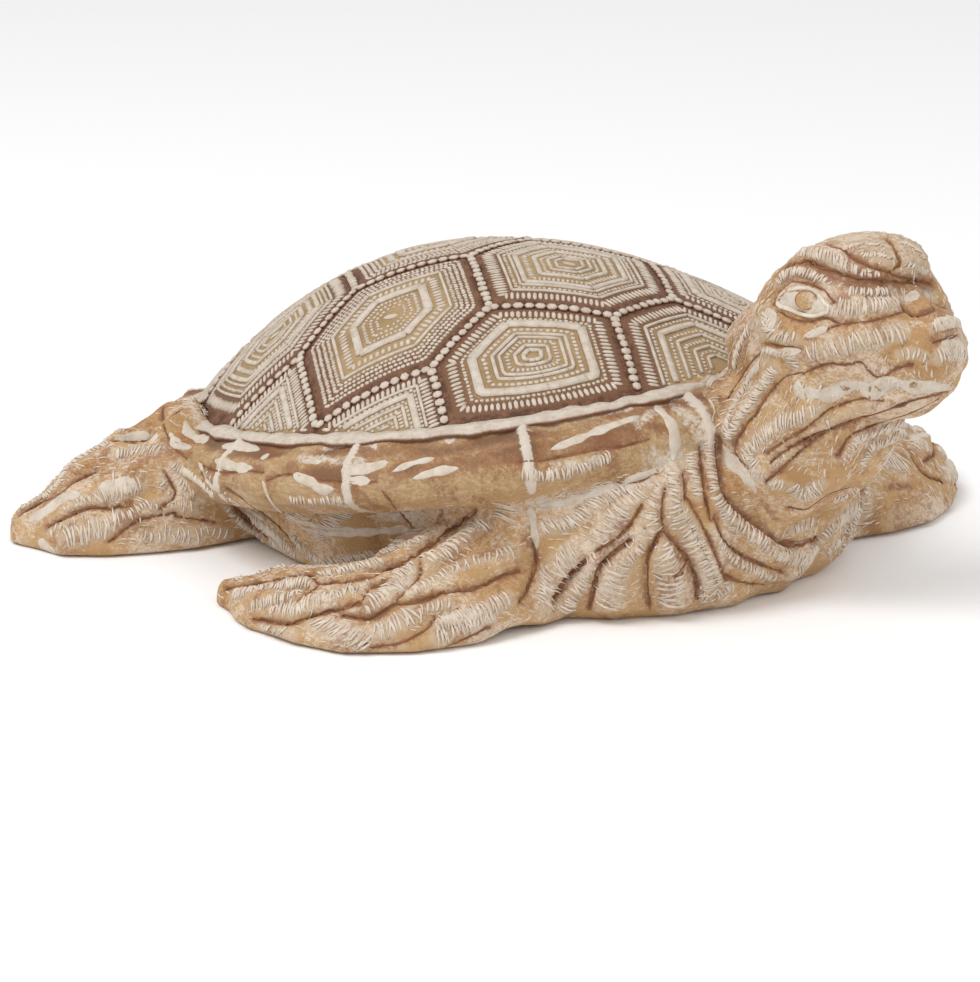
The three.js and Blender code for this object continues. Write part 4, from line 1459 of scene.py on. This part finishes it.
def irisMesh(flip):
    # a low dome with a ring-shaped swelling near its edge
    spot = castLine(eyeSet["iris"])[0].mean(axis=0)
    c, n, _ = nearestOn(skinTree, (spot * mirror if flip else spot)[None])
    c, n = c[0], n[0]
    a = unit(np.cross(n, [0, 0, 1.0]))
    b = np.cross(n, a)
    turns, bands, tall = eyeSet["turns"], eyeSet["bands"], eyeSet["irisHeight"]
    verts, stained = [c + n * tall], [0.1]
    for k in range(1, bands + 1):
        w = k / bands
        reach = eyeSet["irisWidth"] / 2 * math.sin(w * math.pi * 0.5)
        rise = tall * (0.75 + 0.35 * math.cos(w * math.pi * 0.5) + 0.35 * fade(w - 0.78, 0.12))
        for j in range(turns):
            t = 2 * math.pi * j / turns
            across, upwards = math.cos(t) * 1.15, math.sin(t)
            verts.append(c + a * across * reach + b * upwards * reach + n * (rise if k < bands else -0.3))
            pupil = 0.3 * fade(math.hypot(across * w, upwards * w - 0.1), 0.25)
            stained.append(max(0.75 * fade(w - 0.84, 0.16), pupil))
    faces = [(0, 1 + (j + 1) % turns, 1 + j) for j in range(turns)]
    for k in range(bands - 1):
        for j in range(turns):
            p, q = 1 + k * turns, 1 + (k + 1) * turns
            i = (j + 1) % turns
            faces.append((p + j, p + i, q + i, q + j))
    faces.append(tuple(1 + (bands - 1) * turns + j for j in range(turns)))
    return np.array(verts), faces, np.array(stained)


meshPiece("eyeRims", *gather([eyeRim(False), eyeRim(True)]), limeMaterial)
white = np.vstack(castLine(eyeSet["white"]))
carved["patches"] += [((eyeSet["whiteWidth"], 0.5), white), ((eyeSet["whiteWidth"], 0.5), white * mirror)]
v, f, g = gather([irisMesh(False), irisMesh(True)])
eyes = meshPiece("eyes", v, f, g, woodMaterial)
attribute(eyes.data, "stain", g)

# the pads follow the skin; their edges dip below it
padSet = {"step": 0.8, "height": 0.12, "above": 0.06, "edge": 0.25}


def taper(u, ends, swell):
    # how wide a painted mark is along its length, thin at both ends
    return np.minimum(1, ends + swell * np.sqrt(np.maximum(0, u * (1 - u))))


# Brushed white patches: a low pad along a line, thin at its ends
def padMesh(run, width, height):
    line, u = resample(run, padSet["step"])
    n = len(line)
    _, nrm, _ = nearestOn(skinTree, line)
    across = unit(np.cross(nrm, unit(np.gradient(line, axis=0))))
    wide = width / 2 * taper(u, 0.04, 2.2) * (1 + 0.35 * waves(line, 51, 5))
    cols = []
    for w, rise in ((-1, 0), (-0.8, 0.5), (-0.3, 1), (0.3, 1), (0.8, 0.5), (1, 0)):
        q, m, _ = nearestOn(skinTree, line + across * (wide * w)[:, None])
        cols.append(q + m * (height * padSet["height"] * rise + padSet["above"] if rise else -padSet["edge"]))
    verts = np.stack(cols, axis=1)
    # the pad's edges and ends fade into the ochre where the paint thins
    footShadeAndEdgeFade = np.tile([1.1, 0.55, 0.1, 0.1, 0.55, 1.1], n) + np.repeat(np.maximum(0, 0.4 - 5 * u * (1 - u)), 6)
    return verts.reshape(-1, 3), tubeFaces(n, len(cols), False), footShadeAndEdgeFade


pads = [padMesh(run, *spec) for spec, run in carved["patches"] if len(run) > 3]
meshPiece("brushedPatches", *gather(pads), brushedMaterial)

# The stained floor of each cut, a thin dark band that wanders in width and fades out at its ends
stainSet = {"step": 0.9, "width": 0.62, "lift": 0.08}


def stainBand(run, deep):
    line, u = resample(run, stainSet["step"])
    line, nrm, _ = nearestOn(skinTree, line)
    for _ in range(2):
        nrm[1:-1] = unit(nrm[1:-1] + nrm[:-2] + nrm[2:])
    wide = stainSet["width"] * deep * taper(u, 0.15, 3) * (1 + 0.5 * waves(line, 81, 4))
    return bandMesh(line, nrm, np.maximum(wide, 0.15), stainSet["lift"], False)


v, f, g = gather([stainBand(run, 0.6 + 0.35 * spec[1]) for spec, run in carved["cuts"] if len(run) > 3])
meshPiece("stainLines", v, f, np.zeros(len(v)), stainMaterial)

# Short strokes across the folds of the skin; sizes in millimetres
strokeSet = {
    "pitch": 1.1,
    "width": 1.1,
    "height": 0.5,
    "longer": 1.4,  # times a traced ridge's own stroke length
    "closer": 0.66,  # times its own pitch
    "clear": 0.75,  # how far strokes stop from a cut
    "apart": 6,  # how far the plain folds' strokes keep from a traced line
    "fillCell": 2.2,
    "fillSize": 0.62,
    "padPitch": 1.3,
    "headFrom": 98,  # pads ahead of this place and above the next are the head's
    "headAbove": 48,
    "offSkin": 3.2,  # strokes further from the skin are dropped, and too short or long ones
    "shortest": 1.2,
    "longest": 12,
}
bend = (-1, -0.6, -0.2, 0.2, 0.6, 1)
tracedTree = treeOf(np.vstack([run for kind in ("ridges", "cuts") for _, run in carved[kind]]))
strokes = []


def alongFold(q, s, t, inside, r):
    # stroke places at an even pitch along the top of one fold
    d = arcLength(q)
    n = int(d[-1] / strokeSet["pitch"])
    at = (np.arange(n) + r.uniform(0.2, 0.8, n)) / n * d[-1]
    inside = np.interp(at, d, inside.astype(float)) > 0.99
    return np.interp(at, d, s)[inside], np.interp(at, d, t)[inside]


def hatch(name, sLow, sHigh, folds, step, start, tLow, tHigh, slant):
    surface = sheets[name][0]
    s = np.linspace(sLow, sHigh, 240)
    r = np.random.default_rng(sum(map(ord, name)))
    for k in folds:
        # find where this fold's top runs
        t = np.full_like(s, k * step + start)
        for _ in range(6):
            t = t - (phaseOf(name, s, t)[0] - k) * step * 0.8
        inside = (t > tLow) & (t < tHigh)
        if inside.sum() < 12:
            continue
        s1, t1 = alongFold(surface(s, t), s, t, inside, r)
        reach = step * 0.36 * r.uniform(0.7, 1.1, len(s1))
        lean = slant * r.uniform(0.4, 1.3, len(s1))
        strokes.append(np.stack([surface(np.clip(s1 + lean * w, 0, 1), t1 + reach * w) for w in bend], axis=1))


def hatchBody():
    surface = sheets["body"][0]
    r = np.random.default_rng(12)
    t = np.linspace(0.06, 0.97, 60)
    for side in (1, -1):
        for k in range(-4, 20):
            s = np.full_like(t, k * 2 * math.pi / 40)
            for _ in range(12):
                s = s - (phaseOf("body", s * side, t)[0] - k) * 0.1
            inside = (s > -0.02) & (s < math.radians(150))
            if inside.sum() < 10:
                continue
            s1, t1 = alongFold(surface(s * side, t), s, t, inside, r)
            reach = 0.05 * r.uniform(0.7, 1.1, len(s1))
            lean = 0.03 * r.uniform(0.3, 1.3, len(s1))
            spots = [surface((s1 + reach * w) * side, np.clip(t1 + lean * w, 0, 1)) for w in bend]
            strokes.append(np.stack(spots, axis=1))


for name in ("frontRight", "frontLeft"):
    hatch(name, 0.08, 0.97, range(1, 5), 0.4, -1, -0.97, 0.97, 0.012)
for name in ("rearRight", "rearLeft"):
    hatch(name, 0.05, 0.97, range(1, 4), 0.5, -1, -0.97, 0.97, 0.015)
hatch("neck", 0.15, 0.95, range(0, 13), 2 * math.pi / 12, 0, -0.2, 6.4, 0.012)
hatchBody()
strokes = np.concatenate(strokes)
strokes = [strokes[np.array([tracedTree.find(q)[2] > strokeSet["apart"] for q in strokes[:, 1]])]]


def addStrokes(place, way, side, reach, bow):
    # bowed strokes centred on these places
    strokes.append(np.stack([place + way * reach * w + side * bow * (1 - w * w) for w in bend], axis=1))


# across the traced ridges
r = np.random.default_rng(17)
for (_, _, length, pitch, lean), run in carved["ridges"]:
    d = arcLength(run)
    n = int(d[-1] / (pitch * strokeSet["closer"]))
    if n < 2:
        continue
    at = (np.arange(n) + r.uniform(0.25, 0.75, n)) / n * d[-1]
    place, along = placesAt(at, d, run), wayAt(at, d, run, 1)
    across = unit(np.cross(nearestOn(bareTree, place)[1], along))
    turn = np.radians(lean + r.normal(0, 9, n))[:, None]
    way = across * np.cos(turn) + along * np.sin(turn)
    reach = (length * strokeSet["longer"] / 2 * r.uniform(0.75, 1.15, n))[:, None]
    bow = (r.normal(0.1, 0.07, n) * length)[:, None]
    drift = (r.normal(0, 0.09, n) * length)[:, None]
    addStrokes(place + way * drift, way, along, reach, bow)

# and across the brushed pads of the head
for spec, run in carved["patches"][:-2]:
    if run[0, 0] < strokeSet["headFrom"] or run[0, 2] < strokeSet["headAbove"]:
        continue
    d = arcLength(run)
    n = int(d[-1] / strokeSet["padPitch"])
    if n < 2:
        continue
    at = (np.arange(n) + r.uniform(0.2, 0.8, n)) / n * d[-1]
    place = placesAt(at, d, run)
    nrm = nearestOn(bareTree, place)[1]
    slant = unit(np.array([0.25, 0, 1.0]) + r.normal(0, 0.16, (n, 3)))
    way = unit(slant - nrm * (slant * nrm).sum(-1, keepdims=True))
    place = place + way * r.normal(0, 0.16 * spec[0], n)[:, None]
    reach = (spec[0] * r.uniform(0.25, 0.5, n))[:, None]
    addStrokes(place, way, np.cross(nrm, way), reach, 0.3)

# short strokes fill the skin that no fold crosses, most of it on the head
r = np.random.default_rng(23)
taken, extra = set(), []
smear = waves(carvedPoints, 91, 26)
beside = [(0, 0, 0), (1, 0, 0), (-1, 0, 0), (0, 1, 0), (0, -1, 0), (0, 0, 1), (0, 0, -1)]
for i in r.permutation(len(carvedPoints)):
    q = carvedPoints[i]
    name = sheetNames[sheetOf[i]]
    if onDome[i] or N[i, 2] < -0.5 or q[2] < 2 or name == "rim":
        continue
    if hatched[i] > 0.4 or cutShape[i] > 0.3:
        continue
    if frost[i] < 0.3 and smear[i] < (-0.1 if name == "neck" or q[2] > 92 or q[0] < 115 else 0.35):
        continue
    cell = np.floor(q / strokeSet["fillCell"]).astype(int)
    if any(tuple(cell + step) in taken for step in beside):
        continue
    taken.add(tuple(cell))
    flow = unit(np.cross(N[i], [0.35, 0.2, 1.0] if name in ("head", "neck") else [1.0, 0.3, 0.2]))
    swing = 0.5 * waves(q[None], 41, 24)[0]
    flow = flow * math.cos(swing) + np.cross(N[i], flow) * math.sin(swing)
    long = r.uniform(1.0, 2.1)
    extra.append([q + np.cross(N[i], flow) * long * w + flow * 0.3 * (1 - w * w) for w in bend])
strokes = np.concatenate(strokes + [np.array(extra)])

# strokes stop short of the cuts
cutTree = treeOf(np.vstack([run for _, run in carved["cuts"]]))
whole = []
for line in strokes:
    near = [cutTree.find(q)[2] < strokeSet["clear"] for q in line]
    low = max([k + 1 for k in range(3) if near[k]], default=0)
    high = min([k - 1 for k in range(3, 6) if near[k]], default=5)
    if low > high:
        low = high = 3
    whole.append(placesAt(np.linspace(low, high, 6), np.arange(6), line))
on, nor, gap = nearestOn(skinTree, np.array(whole))
ok = (on[:, :, 2].min(axis=1) > 1.0) & (nor[:, :, 2].min(axis=1) > -0.75)
ok &= gap.max(axis=1) < strokeSet["offSkin"]
length = np.linalg.norm(on[:, -1] - on[:, 0], axis=1)
ok &= (length > strokeSet["shortest"]) & (length < strokeSet["longest"])
on, nor = on[ok], nor[ok]
r = np.random.default_rng(4)
size = np.where(np.arange(len(ok)) >= len(ok) - len(extra), strokeSet["fillSize"], 1.0)[ok]
width = size * strokeSet["width"] * r.uniform(0.7, 1.25, len(on))
height = size * strokeSet["height"] * r.uniform(0.8, 1.2, len(on))
meshPiece("skinStrokes", *strokeMesh(on, nor, width, height), limeMaterial)

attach(skin, "root")
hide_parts("turtle")
print("pieces ready")

# Floor, light and camera
bpy.ops.object.select_all(action="DESELECT")
bpy.ops.mesh.primitive_plane_add(size=12, location=(0, 0, 0))
floor = bpy.context.object
floor.name = "floor"
paper = bpy.data.materials.new("paper")
paper.use_nodes = True
paper.node_tree.nodes["Principled BSDF"].inputs["Base Color"].default_value = (0.97, 0.97, 0.97, 1)
paper.node_tree.nodes["Principled BSDF"].inputs["Roughness"].default_value = 0.9
floor.data.materials.append(paper)

world = bpy.data.worlds.new("studio")
world.use_nodes = True
world.node_tree.nodes["Background"].inputs[0].default_value = (1, 1, 1, 1)
world.node_tree.nodes["Background"].inputs[1].default_value = 0.8
bpy.context.scene.world = world
bpy.context.scene.view_settings.view_transform = "Standard"
bpy.context.scene.view_settings.exposure = -0.1

camera = bpy.data.cameras.new("photoView")
camera.sensor_width = 36
camera.lens = view["focal"] * camera.sensor_width / view["width"]
cameraObject = bpy.data.objects.new("photoView", camera)
cameraObject.location = (eyePlace + shift) * mm
cameraObject.rotation_mode = "QUATERNION"
cameraObject.rotation_quaternion = Vector(look).to_track_quat("-Z", "Y")
bpy.context.scene.collection.objects.link(cameraObject)
bpy.context.scene.camera = cameraObject


def softLight(name, az, el, distance, size, power):
    data = bpy.data.lights.new(name, "AREA")
    data.size = size
    data.energy = power
    o = bpy.data.objects.new(name, data)
    d = Vector(fromAngles(az, el))
    o.location = d * distance
    o.rotation_mode = "QUATERNION"
    o.rotation_quaternion = (-d).to_track_quat("-Z", "Y")
    bpy.context.scene.collection.objects.link(o)


softLight("key", -10, 55, 1.4, 0.7, 10)
softLight("fill", 95, 35, 1.6, 1.2, 4)

print("scene ready")
